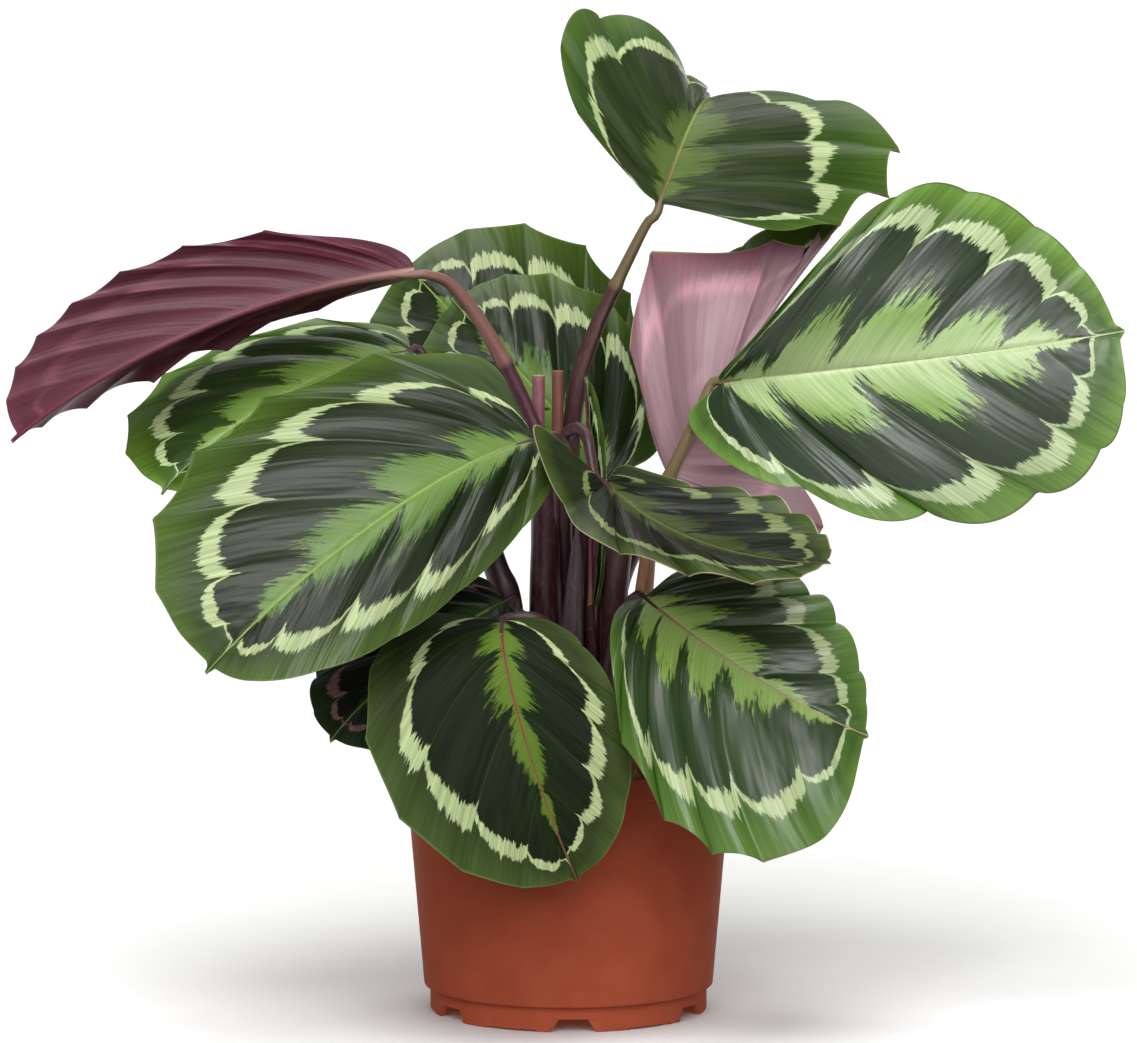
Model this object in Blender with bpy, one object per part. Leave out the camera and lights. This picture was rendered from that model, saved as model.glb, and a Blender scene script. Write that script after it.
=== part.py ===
"""A potted calathea: a footed nursery pot, its soil, and the stalks and blades that rise from it."""

import math
from dataclasses import dataclass

import bmesh
import bpy
import numpy as np

# Lengths below are in millimetres and angles in degrees; MM turns them to metres.
MM = 0.001
FIT = 0.3
SHARP_ANGLE = 40.0
FRONT = -90.0

# Pot: the rim's outer diameter drives the rest.
RIM_DIAMETER = 140.0
RIM_RADIUS = RIM_DIAMETER / 2
POT_HEIGHT = 105.6
RIM_HEIGHT = 9.2
WALL = 1.3
BODY_TOP_RADIUS = RIM_RADIUS - 1.7
BODY_FOOT_RADIUS = RIM_RADIUS - 9.2
FOOT_RADIUS = RIM_RADIUS - 11.6
FOOT_HEIGHT = 10.2
FOOT_WALL = 2.3
FLOOR_BOTTOM = 7.4
FLOOR_TOP = 9.0
POT_SIDES = 60
POT_TURN = 2.0
NOTCH_COUNT = 6
NOTCH_HEIGHT = 5.5
NOTCH_TOP_WIDTH = 11.7
NOTCH_FOOT_WIDTH = 18.8
NOTCH_FLARE = 1.2
DRAIN_RADIUS = 4.0
DRAIN_CIRCLE = 40.0
DRAIN_SIDES = 12
CUT_MARGIN = 3.0
CORNER = 0.8
HALF_CORNER = 0.5
STEP = 1.0

# Soil: fills the pot to just under the rim; each stalk is planted in a socket of its own.
SOIL_TOP = 95.0
SOIL_EDGE_TOP = 93.0
SOIL_SLOPE = 16.0
SOIL_SIDES = POT_SIDES // 2
SOCKET_GAP = 0.35
SOCKET_SIDES = 12

# Blades: closed shells, thicker along the midrib on the lower side.
BLADE = 0.6
RIDGE = 1.6
RIDGE_TAPER = 0.8
BASE_EDGE = 0.01
TIP_EDGE = 0.985
BLADE_ROWS = 12
ROW_CROWDING = 1.6
BLADE_COLUMNS = (-1.0, -0.78, -0.5, -0.25, -0.045, 0.0, 0.045, 0.25, 0.5, 0.78, 1.0)

# A side vein leaves the midrib at share**VEIN_START of the length and meets the margin at share**VEIN_END.
VEIN_START = 1.9
VEIN_END = 0.55
VEIN_BEND = 1.15
LOBE_FADE = 2.5
LOBE_BEND = 1.3
LOBE_RISE = 0.02

# The outline ends in a narrow point: the rounded body stops at BODY_END of the length.
BODY_END = 0.975
POINT_HALF_WIDTH = 0.09
POINT_LENGTH = 0.05
POINT_START = 0.5
POINT_RISE = 0.4
POINT_JOIN = 4

# The margin's ripple: both halves are out of step, and it dies away at the two ends.
WAVE_SHIFT = 0.3
WAVE_DEPTH_BEND = 3
WAVE_END = 0.02
FLAT_CURL = 1e-6

# Stalks: swept round tubes that end on the blade's midrib.
STALK_SIDES = 8
STALK_RINGS = 11
PATH_STEPS = 12
NECK = 5.0
NECK_RADIUS = 2.0
NECK_DROP = 2.0

TERRACOTTA = (0.254, 0.053, 0.028, 1.0)
SOIL_BROWN = (0.030, 0.018, 0.012, 1.0)
LEAF_GREEN = (0.040, 0.100, 0.030, 1.0)
STALK_MAROON = (0.050, 0.010, 0.018, 1.0)
CUT_TAN = (0.450, 0.250, 0.130, 1.0)


@dataclass(frozen=True)
class Blade:
    """One leaf blade: its midrib, the way its upper side faces, and how each half bends."""

    name: str
    rib: tuple
    facing: tuple
    half: tuple
    fold_left: tuple = (10, 10, 10)
    fold_right: tuple = (10, 10, 10)
    curl_left: tuple = (-20, -20, -20)
    curl_right: tuple = (-20, -20, -20)
    lobe: tuple = (6, 6)
    widest: tuple = (0.48, 0.48)
    base_round: tuple = (0.44, 0.44)
    tip_round: tuple = (0.44, 0.44)
    wave: float = 2.0
    waves: float = 5.0


@dataclass(frozen=True)
class Stalk:
    """One stalk: the points it passes and its radius at evenly spaced shares of its length."""

    name: str
    path: tuple
    radii: tuple
    blade: str = ""
    gap: float = 0.8
    material: str = "stalk"


BLADES = (
    Blade("leaf_far_left", ((-64, -15, 311), (-115, -28, 308), (-185, -45, 280), (-229, -45, 243)),
          (100, 36), (35, 52), (45, 45, 40), (50, 55, 45), (-35, -25, -20), (-30, -30, -20),
          lobe=(4, 6), widest=(0.6, 0.5), tip_round=(0.42, 0.54)),
    Blade("leaf_rear_left", ((-66, 11, 277), (-95, 1, 276), (-145, -24, 250), (-168, -39, 221)),
          (-120, 50), (56, 58), widest=(0.5, 0.6), tip_round=(0.44, 0.4)),
    Blade("leaf_front_left", ((-14, -45, 244), (-45, -65, 240), (-105, -105, 200), (-145, -115, 156)),
          (-108, 28), (47, 81), (5, 0, 0), (10, 10, 10), (-60, -50, -30), (-15, -25, -20),
          lobe=(10, 12), widest=(0.5, 0.52), tip_round=(0.44, 0.39)),
    Blade("leaf_front_low", ((-27, -62, 171), (-29, -90, 160), (-14, -102, 110), (4, -98, 69)),
          (-85, 20), (41, 62), widest=(0.5, 0.43), tip_round=(0.44, 0.5)),
    Blade("leaf_low_right", ((31, -55, 180), (48, -78, 168), (90, -98, 140), (122, -85, 127)),
          (-75, 30), (48, 72), fold_right=(20, 0, 0), widest=(0.48, 0.68),
          base_round=(0.44, 0.4), tip_round=(0.44, 0.26)),
    Blade("leaf_front_right", ((15, -56, 228), (32, -58, 209), (64, -105, 199), (104, -125, 202)),
          (-100, 85), (40, 34), (8, 28, 10), (-10, 5, -18), lobe=(6, 52), base_round=(0.44, 0.8)),
    Blade("leaf_far_right", ((63, -30, 267), (100, -48, 272), (180, -45, 280), (230, -30, 288)),
          (-90, 15), (74, 67), (60, 12, -5), (10, 0, 0), lobe=(6, 27), widest=(0.62, 0.6),
          base_round=(0.75, 0.44), tip_round=(0.49, 0.3)),
    Blade("leaf_rear_right", ((42, -5, 226), (60, 0, 258), (92, 16, 306), (116, 36, 330)),
          (96, 32), (70, 55), (-35, 60, 140), (10, 32, 60), (-20, -10, -10), (-10, -10, -10),
          lobe=(18, 0), widest=(0.35, 0.48), base_round=(0.12, 1.05), tip_round=(0.9, 2.2)),
    Blade("leaf_top", ((38, 10, 339), (50, 35, 371), (62, 76, 394), (64, 133, 375)),
          (-80, 60), (67, 90), (16, 36, 50), (5, 12, 22), (-10, -10, -10), (-30, -30, -15),
          lobe=(-10, 4), widest=(0.42, 0.46), base_round=(0.65, 0.3), tip_round=(3.6, 1.6)),
    Blade("leaf_back_tall", ((8, 38, 221), (-15, 50, 255), (-50, 62, 290), (-71, 62, 312)),
          (-80, 25), (70, 67), widest=(0.48, 0.54)),
    Blade("leaf_back_short", ((16, 22, 222), (2, 30, 245), (-30, 38, 275), (-50, 38, 298)),
          (-80, 20), (56, 52)),
    Blade("leaf_low_left", ((-26, -24, 175), (-45, -37, 168), (-80, -55, 145), (-98, -60, 121)),
          (-110, 45), (46, 40)),
    Blade("leaf_young", ((10, -17, 172), (10, -13, 210), (9, -10, 240), (7.5, -11, 268)),
          (-60, 5), (8, 8), (60, 60, 60), (50, 50, 50), (30, 30, 30), (30, 30, 30),
          lobe=(0, 0), wave=0.8),
)

STALKS = (
    Stalk("stalk_far_left",
          ((-9, -5, 88), (-10, -7, 168), (-10, -6, 205), (-11, -4, 232), (-18, -2, 254),
           (-33, -5, 284), (-48, -10, 305)), (5, 6.3, 5.2, 3.8, 3.4, 3.2, 2.6), "leaf_far_left", gap=1.0),
    Stalk("stalk_rear_left", ((-20, -3, 88), (-25, -9, 168), (-31, -8, 190), (-46, 2, 240)),
          (5, 6.2, 5.0, 2.8), "leaf_rear_left"),
    Stalk("stalk_front_left", ((4, -4, 88), (6, -6, 170), (5, -18, 215), (-3, -36, 243)),
          (3.9, 3.7, 2.7, 2.3), "leaf_front_left"),
    Stalk("stalk_front_low",
          ((-9, -20, 88), (-5, -31, 140), (-5, -46, 162), (-12, -54, 171), (-21, -56, 172)),
          (3.8, 3.4, 2.6, 2.4, 2.3), "leaf_front_low", gap=1.7),
    Stalk("stalk_low_right", ((12, -19, 88), (17, -28, 145), (23, -42, 172)),
          (4, 3.6, 2.5), "leaf_low_right"),
    Stalk("stalk_front_right",
          ((-2, 2, 88), (-1, -1, 170), (-1.5, -13, 220), (-1, -23, 244), (7, -41, 246)),
          (2.8, 2.8, 2.7, 2.5, 2.5), "leaf_front_right", gap=1.8),
    Stalk("stalk_far_right",
          ((19, -8, 88), (20, -14, 185), (31, -19, 212), (42, -23, 228), (54, -27, 254)),
          (5, 5.5, 3.4, 2.6, 2.4), "leaf_far_right", gap=1.4),
    Stalk("stalk_rear_right", ((14, 4, 88), (20, 4, 170), (34, 0, 205)),
          (3.6, 3.8, 2.8), "leaf_rear_right", gap=1.6),
    Stalk("stalk_top",
          ((5, 8, 88), (5, 6, 170), (1, 7, 225), (3, 5, 259), (10, 6, 283), (18, 8, 301),
           (32, 9, 329)), (4.2, 4.4, 3.8, 3.6, 3.4, 2.8, 2.1), "leaf_top"),
    Stalk("stalk_back_tall", ((-2, 19, 88), (3, 30, 180), (8, 38, 212)),
          (3.4, 3.2, 2.4), "leaf_back_tall"),
    Stalk("stalk_back_short", ((12, 14, 88), (14, 16, 170), (18, 22, 212)),
          (3.3, 3.2, 2.4), "leaf_back_short"),
    Stalk("stalk_low_left", ((-18, -13, 88), (-21, -19, 150), (-22, -21, 166)),
          (3.5, 3.0, 2.4), "leaf_low_left"),
    Stalk("stalk_young", ((9, -11, 88), (10, -15, 140)), (2.5, 2.3), "leaf_young"),
    Stalk("sheath_spear", ((1, -17, 88), (1, -20, 150), (3, -20, 190), (3.6, -20, 205)),
          (5, 5.4, 3.0, 0.7)),
    Stalk("stub_left", ((-12, 8, 88), (-13, 7, 200), (-12.5, 5, 267)), (2.8, 2.8, 2.7),
          material="cut"),
    Stalk("stub_right", ((-6, 8, 88), (-5, 5, 200), (-4.4, 4, 269)), (2.6, 2.6, 2.5),
          material="cut"),
    Stalk("stub_low", ((28, -17, 88), (30, -20, 160), (33, -22, 194)), (4.2, 4.5, 3.4),
          material="cut"),
)


def clear_scene():
    """Remove every object, so the file holds only this model."""
    for item in list(bpy.data.objects):
        bpy.data.objects.remove(item, do_unlink=True)


def material(name, colour, roughness):
    """A plain Principled material."""
    made = bpy.data.materials.new(name)
    made.use_nodes = True
    shader = made.node_tree.nodes["Principled BSDF"]
    shader.inputs["Base Color"].default_value = colour
    shader.inputs["Roughness"].default_value = roughness
    shader.inputs["Metallic"].default_value = 0.0
    return made


def add_object(name, points, faces, surface, smooth=True):
    """Make an object from points in millimetres and faces, with its normals facing out."""
    mesh = bpy.data.meshes.new(name)
    mesh.from_pydata([tuple(c * MM for c in p) for p in points], [], faces)
    work = bmesh.new()
    work.from_mesh(mesh)
    bmesh.ops.recalc_face_normals(work, faces=work.faces)
    bmesh.ops.triangulate(work, faces=work.faces)
    work.to_mesh(mesh)
    work.free()
    if smooth:
        mesh.shade_smooth()
        mesh.set_sharp_from_angle(angle=math.radians(SHARP_ANGLE))
    item = bpy.data.objects.new(name, mesh)
    bpy.context.scene.collection.objects.link(item)
    mesh.materials.append(surface)
    return item


def cut(target, cutter):
    """Subtract the cutter from the target with an exact Boolean."""
    cutter.hide_render = True
    cutter.display_type = "WIRE"
    modifier = target.modifiers.new("cut_" + cutter.name, "BOOLEAN")
    modifier.operation = "DIFFERENCE"
    modifier.solver = "EXACT"
    modifier.object = cutter


# ---------------------------------------------------------------- pot and soil


def lathe(profile, sides):
    """Turn a closed (radius, height) profile about Z; a zero radius is one point."""
    points = []
    rings = []
    for radius, height in profile:
        if radius == 0:
            rings.append([len(points)] * sides)
            points.append((0.0, 0.0, height))
            continue
        rings.append(list(range(len(points), len(points) + sides)))
        for k in range(sides):
            angle = 2 * math.pi * k / sides
            points.append((radius * math.cos(angle), radius * math.sin(angle), height))
    faces = []
    for lower, upper in zip(rings, rings[1:] + rings[:1]):
        for k in range(sides):
            after = (k + 1) % sides
            corners = [lower[k], lower[after], upper[after], upper[k]]
            face = list(dict.fromkeys(corners))
            if len(face) > 2:
                faces.append(face)
    return points, faces


def body_radius(height):
    """Outer radius of the tapered pot wall at a height."""
    share = (height - FOOT_HEIGHT) / (POT_HEIGHT - RIM_HEIGHT - FOOT_HEIGHT)
    return BODY_FOOT_RADIUS + share * (BODY_TOP_RADIUS - BODY_FOOT_RADIUS)


def make_pot(surface):
    """The pot: a foot ring, a drained floor, a tapered wall and a stepped rim."""
    under_rim = POT_HEIGHT - RIM_HEIGHT
    outer = [
        (FOOT_RADIUS - FOOT_WALL, 0.0),
        (FOOT_RADIUS - CORNER, 0.0),
        (FOOT_RADIUS, CORNER),
        (FOOT_RADIUS, FOOT_HEIGHT - HALF_CORNER / 2),
        (BODY_FOOT_RADIUS - CORNER, FOOT_HEIGHT),
        (BODY_FOOT_RADIUS, FOOT_HEIGHT + STEP),
        (body_radius(under_rim), under_rim),
        (RIM_RADIUS - HALF_CORNER, under_rim + FIT),
        (RIM_RADIUS, under_rim + STEP),
        (RIM_RADIUS, POT_HEIGHT - CORNER),
        (RIM_RADIUS - HALF_CORNER, POT_HEIGHT),
    ]
    inner = [
        (RIM_RADIUS - WALL, POT_HEIGHT),
        (RIM_RADIUS - WALL - FIT, under_rim + CORNER),
        (body_radius(under_rim) - WALL, under_rim - STEP),
        (body_radius(FLOOR_TOP) - WALL - STEP, FLOOR_TOP),
        (0, FLOOR_TOP),
        (0, FLOOR_BOTTOM),
        (FOOT_RADIUS - FOOT_WALL - HALF_CORNER, FLOOR_BOTTOM),
    ]
    points, faces = lathe(outer + inner, POT_SIDES)
    pot = add_object("pot", points, faces, surface)
    for k in range(NOTCH_COUNT):
        cut(pot, notch_cutter(k, surface))
        cut(pot, drain_cutter(k, surface))
    cut(pot, drain_cutter(-1, surface))
    return pot


def notch_cutter(index, surface):
    """A wedge that opens the foot ring, narrower at its top."""
    low = -CUT_MARGIN
    foot_half = NOTCH_FOOT_WIDTH / 2 * NOTCH_FLARE
    top_half = NOTCH_TOP_WIDTH / 2
    section = [(-foot_half, low), (foot_half, low), (top_half, NOTCH_HEIGHT), (-top_half, NOTCH_HEIGHT)]
    near = FOOT_RADIUS - FOOT_WALL - 2 * CUT_MARGIN
    far = FOOT_RADIUS + CUT_MARGIN
    turn = math.radians(FRONT + POT_TURN + 360 / NOTCH_COUNT * index)
    points = []
    for reach in (near, far):
        for across, height in section:
            x = reach * math.cos(turn) - across * math.sin(turn)
            y = reach * math.sin(turn) + across * math.cos(turn)
            points.append((x, y, height))
    faces = [(0, 1, 2, 3), (4, 5, 6, 7), (0, 1, 5, 4), (1, 2, 6, 5), (2, 3, 7, 6), (3, 0, 4, 7)]
    return add_object("cut_notch_%d" % index, points, faces, surface, smooth=False)


def drain_cutter(index, surface):
    """A drain hole through the floor: index -1 is the middle one."""
    sides = DRAIN_SIDES
    turn = math.radians(FRONT + POT_TURN + 360 / NOTCH_COUNT * (index + 0.5))
    circle = 0.0 if index < 0 else DRAIN_CIRCLE
    points = []
    for height in (FLOOR_BOTTOM - CUT_MARGIN, FLOOR_TOP + CUT_MARGIN):
        for k in range(sides):
            angle = 2 * math.pi * k / sides
            x = circle * math.cos(turn) + DRAIN_RADIUS * math.cos(angle)
            y = circle * math.sin(turn) + DRAIN_RADIUS * math.sin(angle)
            points.append((x, y, height))
    faces = [tuple(range(sides)), tuple(range(sides, 2 * sides))]
    for k in range(sides):
        after = (k + 1) % sides
        faces.append((k, after, sides + after, sides + k))
    return add_object("cut_drain_%d" % (index + 1), points, faces, surface, smooth=False)


def make_soil(surface, cutters):
    """The soil: a tapered plug inside the pot, with a socket for each stalk."""
    low = FLOOR_TOP + FIT
    profile = [
        (body_radius(FLOOR_TOP) - WALL - STEP - 2 * FIT, low),
        (body_radius(SOIL_EDGE_TOP) - WALL - 2 * FIT, SOIL_EDGE_TOP),
        (RIM_RADIUS - SOIL_SLOPE, SOIL_TOP),
        (0, SOIL_TOP),
        (0, low),
    ]
    points, faces = lathe(profile, SOIL_SIDES)
    soil = add_object("soil", points, faces, surface)
    for cutter in cutters:
        cut(soil, cutter)
    return soil


# ---------------------------------------------------------------- blades


def unit(vector):
    """The vector at length one."""
    return vector / np.linalg.norm(vector)


def ease(values, share):
    """A smooth run through the values at the base, the middle and the tip."""
    base, middle, tip = values
    near = base * (1 - share) * (1 - 2 * share)
    return near + middle * 4 * share * (1 - share) + tip * share * (2 * share - 1)


class Rib:
    """The midrib: even samples of its curve, each with forward, up and right directions."""

    SAMPLES = 81
    CURVE_STEPS = 401

    def __init__(self, blade):
        control = np.array(blade.rib, float)
        t = np.linspace(0, 1, self.CURVE_STEPS)[:, None]
        curve = ((1 - t) ** 3 * control[0] + 3 * (1 - t) ** 2 * t * control[1]
                 + 3 * (1 - t) * t ** 2 * control[2] + t ** 3 * control[3])
        run = np.concatenate([[0], np.cumsum(np.linalg.norm(np.diff(curve, axis=0), axis=1))])
        self.length = run[-1]
        self.place = np.linspace(0, self.length, self.SAMPLES)
        self.points = np.stack([np.interp(self.place, run, curve[:, k]) for k in range(3)], 1)
        forward = np.gradient(self.points, self.place, axis=0)
        self.forward = forward / np.linalg.norm(forward, axis=1)[:, None]
        self.up = self.carry_up(blade.facing)
        self.right = np.cross(self.forward, self.up)

    def carry_up(self, facing):
        """Carry the facing direction from the middle to both ends without twist."""
        turn, rise = (math.radians(a) for a in facing)
        aim = np.array([math.cos(turn) * math.cos(rise), math.sin(turn) * math.cos(rise), math.sin(rise)])
        up = np.zeros_like(self.forward)
        middle = self.SAMPLES // 2
        up[middle] = unit(aim - aim.dot(self.forward[middle]) * self.forward[middle])
        order = [(i, i - 1) for i in range(middle + 1, self.SAMPLES)]
        order += [(i, i + 1) for i in range(middle - 1, -1, -1)]
        for here, before in order:
            flat = up[before] - up[before].dot(self.forward[here]) * self.forward[here]
            up[here] = unit(flat)
        return up

    def at(self, x):
        """Position, forward, up and right at lengths x, running straight on past the ends."""
        held = np.clip(x, 0, self.length)
        found = []
        for field in (self.points, self.forward, self.up, self.right):
            found.append(np.stack([np.interp(held, self.place, field[:, k]) for k in range(3)], -1))
        point, forward, up, right = found
        return point + (x - held)[..., None] * forward, forward, up, right


def half_width(share, widest, base_round, tip_round):
    """Half width as a part of the largest, against the share of the length."""
    stretch = np.log(0.5) / np.log(widest)
    along = np.clip(share / BODY_END, 0, 1) ** stretch
    power = base_round + (tip_round - base_round) * share ** 2
    body = np.clip(np.sin(np.pi * along), 0, 1) ** power
    start = np.clip((share - POINT_START) / POINT_RISE, 0, 1)
    point = POINT_HALF_WIDTH * np.clip((1 - share) / POINT_LENGTH, 0, 1) * start
    return (body ** POINT_JOIN + point ** POINT_JOIN) ** (1 / POINT_JOIN)


def blade_grid(blade, rows, columns):
    """Points, normals and shares of a blade: rows follow the side veins, columns run across."""
    rib = Rib(blade)
    vein, across = np.meshgrid(np.array(rows), np.array(columns), indexing="ij")
    reach = np.abs(across)
    left = across < 0
    at_rib = vein ** VEIN_START
    at_edge = vein ** VEIN_END
    sweep = reach ** VEIN_BEND
    rounded = 1 - np.exp(-at_edge / LOBE_RISE)
    pull = np.where(left, *blade.lobe) * rounded * (1 - at_edge) ** LOBE_FADE * reach ** LOBE_BEND
    x = rib.length * (at_rib * (1 - sweep) + at_edge * sweep) - pull
    half = np.where(left, *blade.half)
    width = half_width(at_edge, np.where(left, *blade.widest), np.where(left, *blade.base_round),
                       np.where(left, *blade.tip_round))
    y = half * width * reach
    share = np.clip(x / rib.length, 0, 1)
    fold = np.radians(np.where(left, ease(blade.fold_left, share), ease(blade.fold_right, share)))
    curl = np.radians(np.where(left, ease(blade.curl_left, share), ease(blade.curl_right, share))) / half
    curl = np.where(np.abs(curl) < FLAT_CURL, FLAT_CURL, curl)
    side = np.where(left, -1.0, 1.0)
    point, forward, up, right = rib.at(x)
    end = fold + curl * y
    out = (np.sin(end) - np.sin(fold)) / curl
    rise = (np.cos(fold) - np.cos(end)) / curl
    points = point + (side * out)[..., None] * right + rise[..., None] * up
    normals = (-np.sin(end) * side)[..., None] * right + np.cos(end)[..., None] * up
    phase = 2 * np.pi * (blade.waves * at_edge + WAVE_SHIFT * left)
    fade = np.sqrt(np.sin(np.pi * np.clip(at_edge, WAVE_END, 1 - WAVE_END)))
    ripple = blade.wave * reach ** WAVE_DEPTH_BEND * np.sin(phase) * fade
    points = points + ripple[..., None] * normals
    return points, normals, vein, across


def make_blade(blade, surface):
    """A blade as a thin closed shell with a raised midrib below."""
    first, last = BASE_EDGE ** (1 / ROW_CROWDING), TIP_EDGE ** (1 / ROW_CROWDING)
    rows = np.linspace(first, last, BLADE_ROWS) ** ROW_CROWDING
    points, normals, vein, across = blade_grid(blade, rows, BLADE_COLUMNS)
    ridge = RIDGE * (1 - RIDGE_TAPER * vein) * (across == 0)
    top = points + normals * BLADE / 2
    bottom = points - normals * (BLADE / 2 + ridge)[..., None]
    row_count, column_count = vein.shape
    total = row_count * column_count
    flat = [tuple(p) for p in top.reshape(-1, 3)] + [tuple(p) for p in bottom.reshape(-1, 3)]
    faces = []
    for i in range(row_count - 1):
        for j in range(column_count - 1):
            a = i * column_count + j
            quad = (a, a + 1, a + column_count + 1, a + column_count)
            faces.append(quad)
            faces.append(tuple(total + v for v in reversed(quad)))
    rim = list(range(column_count))
    rim += [i * column_count + column_count - 1 for i in range(1, row_count)]
    rim += [(row_count - 1) * column_count + j for j in range(column_count - 2, -1, -1)]
    rim += [i * column_count for i in range(row_count - 2, 0, -1)]
    for a, b in zip(rim, rim[1:] + rim[:1]):
        faces.append((a, b, total + b, total + a))
    return add_object(blade.name, flat, faces, surface)


# ---------------------------------------------------------------- stalks


def smooth_path(points, steps):
    """A dense curve through the points (Catmull-Rom)."""
    p = np.array(points, float)
    p = np.vstack([2 * p[0] - p[1], p, 2 * p[-1] - p[-2]])
    curve = []
    for i in range(1, len(p) - 2):
        for t in np.linspace(0, 1, steps, endpoint=False):
            curve.append(0.5 * (2 * p[i] + (p[i + 1] - p[i - 1]) * t
                                + (2 * p[i - 1] - 5 * p[i] + 4 * p[i + 1] - p[i + 2]) * t ** 2
                                + (3 * p[i] - p[i - 1] - 3 * p[i + 1] + p[i + 2]) * t ** 3))
    curve.append(p[-2])
    return np.array(curve)


def stalk_curve(stalk):
    """The stalk's dense curve and radii; one with a blade ends straight in line with its midrib."""
    path = [tuple(map(float, p)) for p in stalk.path]
    radii = [float(r) for r in stalk.radii]
    if stalk.blade:
        blade = next(b for b in BLADES if b.name == stalk.blade)
        rib = Rib(blade)
        base = rib.points[0] - rib.up[0] * NECK_DROP
        path.append(tuple(base - rib.forward[0] * NECK))
        path.append(tuple(base - rib.forward[0] * stalk.gap))
        neck = min(NECK_RADIUS, radii[-1])
        radii += [neck, neck]
    curve = smooth_path(path, PATH_STEPS)
    shares = np.linspace(0, 1, len(curve))
    return curve, np.interp(shares, np.linspace(0, 1, len(radii)), radii)


def resample(curve, radii, count):
    """Even rings along the curve."""
    run = np.concatenate([[0], np.cumsum(np.linalg.norm(np.diff(curve, axis=0), axis=1))])
    places = np.linspace(0, run[-1], count)
    points = np.stack([np.interp(places, run, curve[:, k]) for k in range(3)], 1)
    return points, np.interp(places, run, radii)


def sweep_tube(name, points, radii, surface, sides=STALK_SIDES):
    """A closed round tube along the points."""
    forward = np.gradient(points, axis=0)
    side = np.array([1.0, 0.0, 0.0])
    verts = []
    for centre, ahead, radius in zip(points, forward, radii):
        ahead = unit(ahead)
        side = unit(side - side.dot(ahead) * ahead)
        other = np.cross(ahead, side)
        for k in range(sides):
            angle = 2 * math.pi * k / sides
            verts.append(tuple(centre + radius * (math.cos(angle) * side + math.sin(angle) * other)))
    faces = [tuple(range(sides)), tuple(range(len(verts) - sides, len(verts)))]
    for i in range(len(points) - 1):
        for k in range(sides):
            a = i * sides + k
            b = i * sides + (k + 1) % sides
            faces.append((a, b, b + sides, a + sides))
    return add_object(name, verts, faces, surface)


def make_stalk(stalk, surface):
    """Make one stalk; returns the cutter that makes its socket in the soil."""
    curve, radii = stalk_curve(stalk)
    points, widths = resample(curve, radii, STALK_RINGS)
    sweep_tube(stalk.name, points, widths, surface)
    lean = unit(points[1] - points[0])
    bottom = points[0] - lean * SOCKET_GAP
    top = points[1]
    socket_radius = max(widths[0], widths[1]) / math.cos(math.pi / STALK_SIDES) + SOCKET_GAP
    return sweep_tube("cut_socket_" + stalk.name, np.array([bottom, top]),
                      [socket_radius, socket_radius], surface, sides=SOCKET_SIDES)


def main():
    """Build the whole plant."""
    clear_scene()
    finishes = {
        "pot": material("terracotta_plastic", TERRACOTTA, 0.45),
        "soil": material("potting_soil", SOIL_BROWN, 0.95),
        "leaf": material("leaf_blade", LEAF_GREEN, 0.4),
        "stalk": material("leaf_stalk", STALK_MAROON, 0.4),
        "cut": material("cut_stalk", CUT_TAN, 0.6),
    }
    make_pot(finishes["pot"])
    sockets = [make_stalk(stalk, finishes[stalk.material]) for stalk in STALKS]
    make_soil(finishes["soil"], sockets)
    for blade in BLADES:
        make_blade(blade, finishes["leaf"])


main()
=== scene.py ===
"""Looks of a potted calathea: painted blades on maroon stalks in a terracotta nursery pot."""

import logging
import math
from dataclasses import dataclass, field, replace
from enum import Enum
from typing import Any, Sequence

import bpy
import numpy as np
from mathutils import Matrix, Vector


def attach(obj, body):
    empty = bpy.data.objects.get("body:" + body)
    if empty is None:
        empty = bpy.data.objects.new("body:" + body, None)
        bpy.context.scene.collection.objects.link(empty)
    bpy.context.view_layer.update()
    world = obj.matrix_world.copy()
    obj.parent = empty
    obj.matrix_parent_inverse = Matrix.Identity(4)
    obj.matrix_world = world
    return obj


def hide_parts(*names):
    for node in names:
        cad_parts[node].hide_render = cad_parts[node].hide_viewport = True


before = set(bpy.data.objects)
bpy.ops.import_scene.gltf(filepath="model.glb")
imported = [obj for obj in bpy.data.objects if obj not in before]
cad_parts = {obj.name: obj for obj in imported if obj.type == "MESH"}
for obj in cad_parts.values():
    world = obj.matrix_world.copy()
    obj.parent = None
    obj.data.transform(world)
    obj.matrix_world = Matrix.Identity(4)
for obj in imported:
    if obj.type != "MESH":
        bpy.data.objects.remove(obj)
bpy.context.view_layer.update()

log = logging.getLogger("calathea")

MM = 0.001
BODY = "root"

Points = np.ndarray


class Face(Enum):
    """The sides of a blade, in the order of its material slots."""

    UPPER = 0
    LOWER = 1
    RIM = 2


# ------------------------------------------------------------------ small tools


def linear(code: str) -> tuple[float, float, float, float]:
    """Turn an sRGB hex colour into linear RGBA.

    Args:
        code: Six hex digits after a hash.

    Returns:
        Red, green, blue and an alpha of one.
    """
    channels = [int(code[i:i + 2], 16) / 255 for i in (1, 3, 5)]
    lit = [c / 12.92 if c <= 0.04045 else ((c + 0.055) / 1.055) ** 2.4 for c in channels]
    return (lit[0], lit[1], lit[2], 1.0)


def darker(code: str, share: float) -> tuple[float, float, float, float]:
    """Return a hex colour in linear RGBA, dimmed to a share of its light."""
    red, green, blue, alpha = linear(code)
    return (red * share, green * share, blue * share, alpha)


def unit(vector: Points) -> Points:
    """Return the vectors of the last axis at length one."""
    return vector / np.linalg.norm(vector, axis=-1, keepdims=True)


def heading(azimuth: float, elevation: float) -> Points:
    """Return the unit vector to an azimuth from +X and an elevation, both in degrees."""
    turn, rise = math.radians(azimuth), math.radians(elevation)
    return np.array([math.cos(turn) * math.cos(rise), math.sin(turn) * math.cos(rise), math.sin(rise)])


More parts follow.
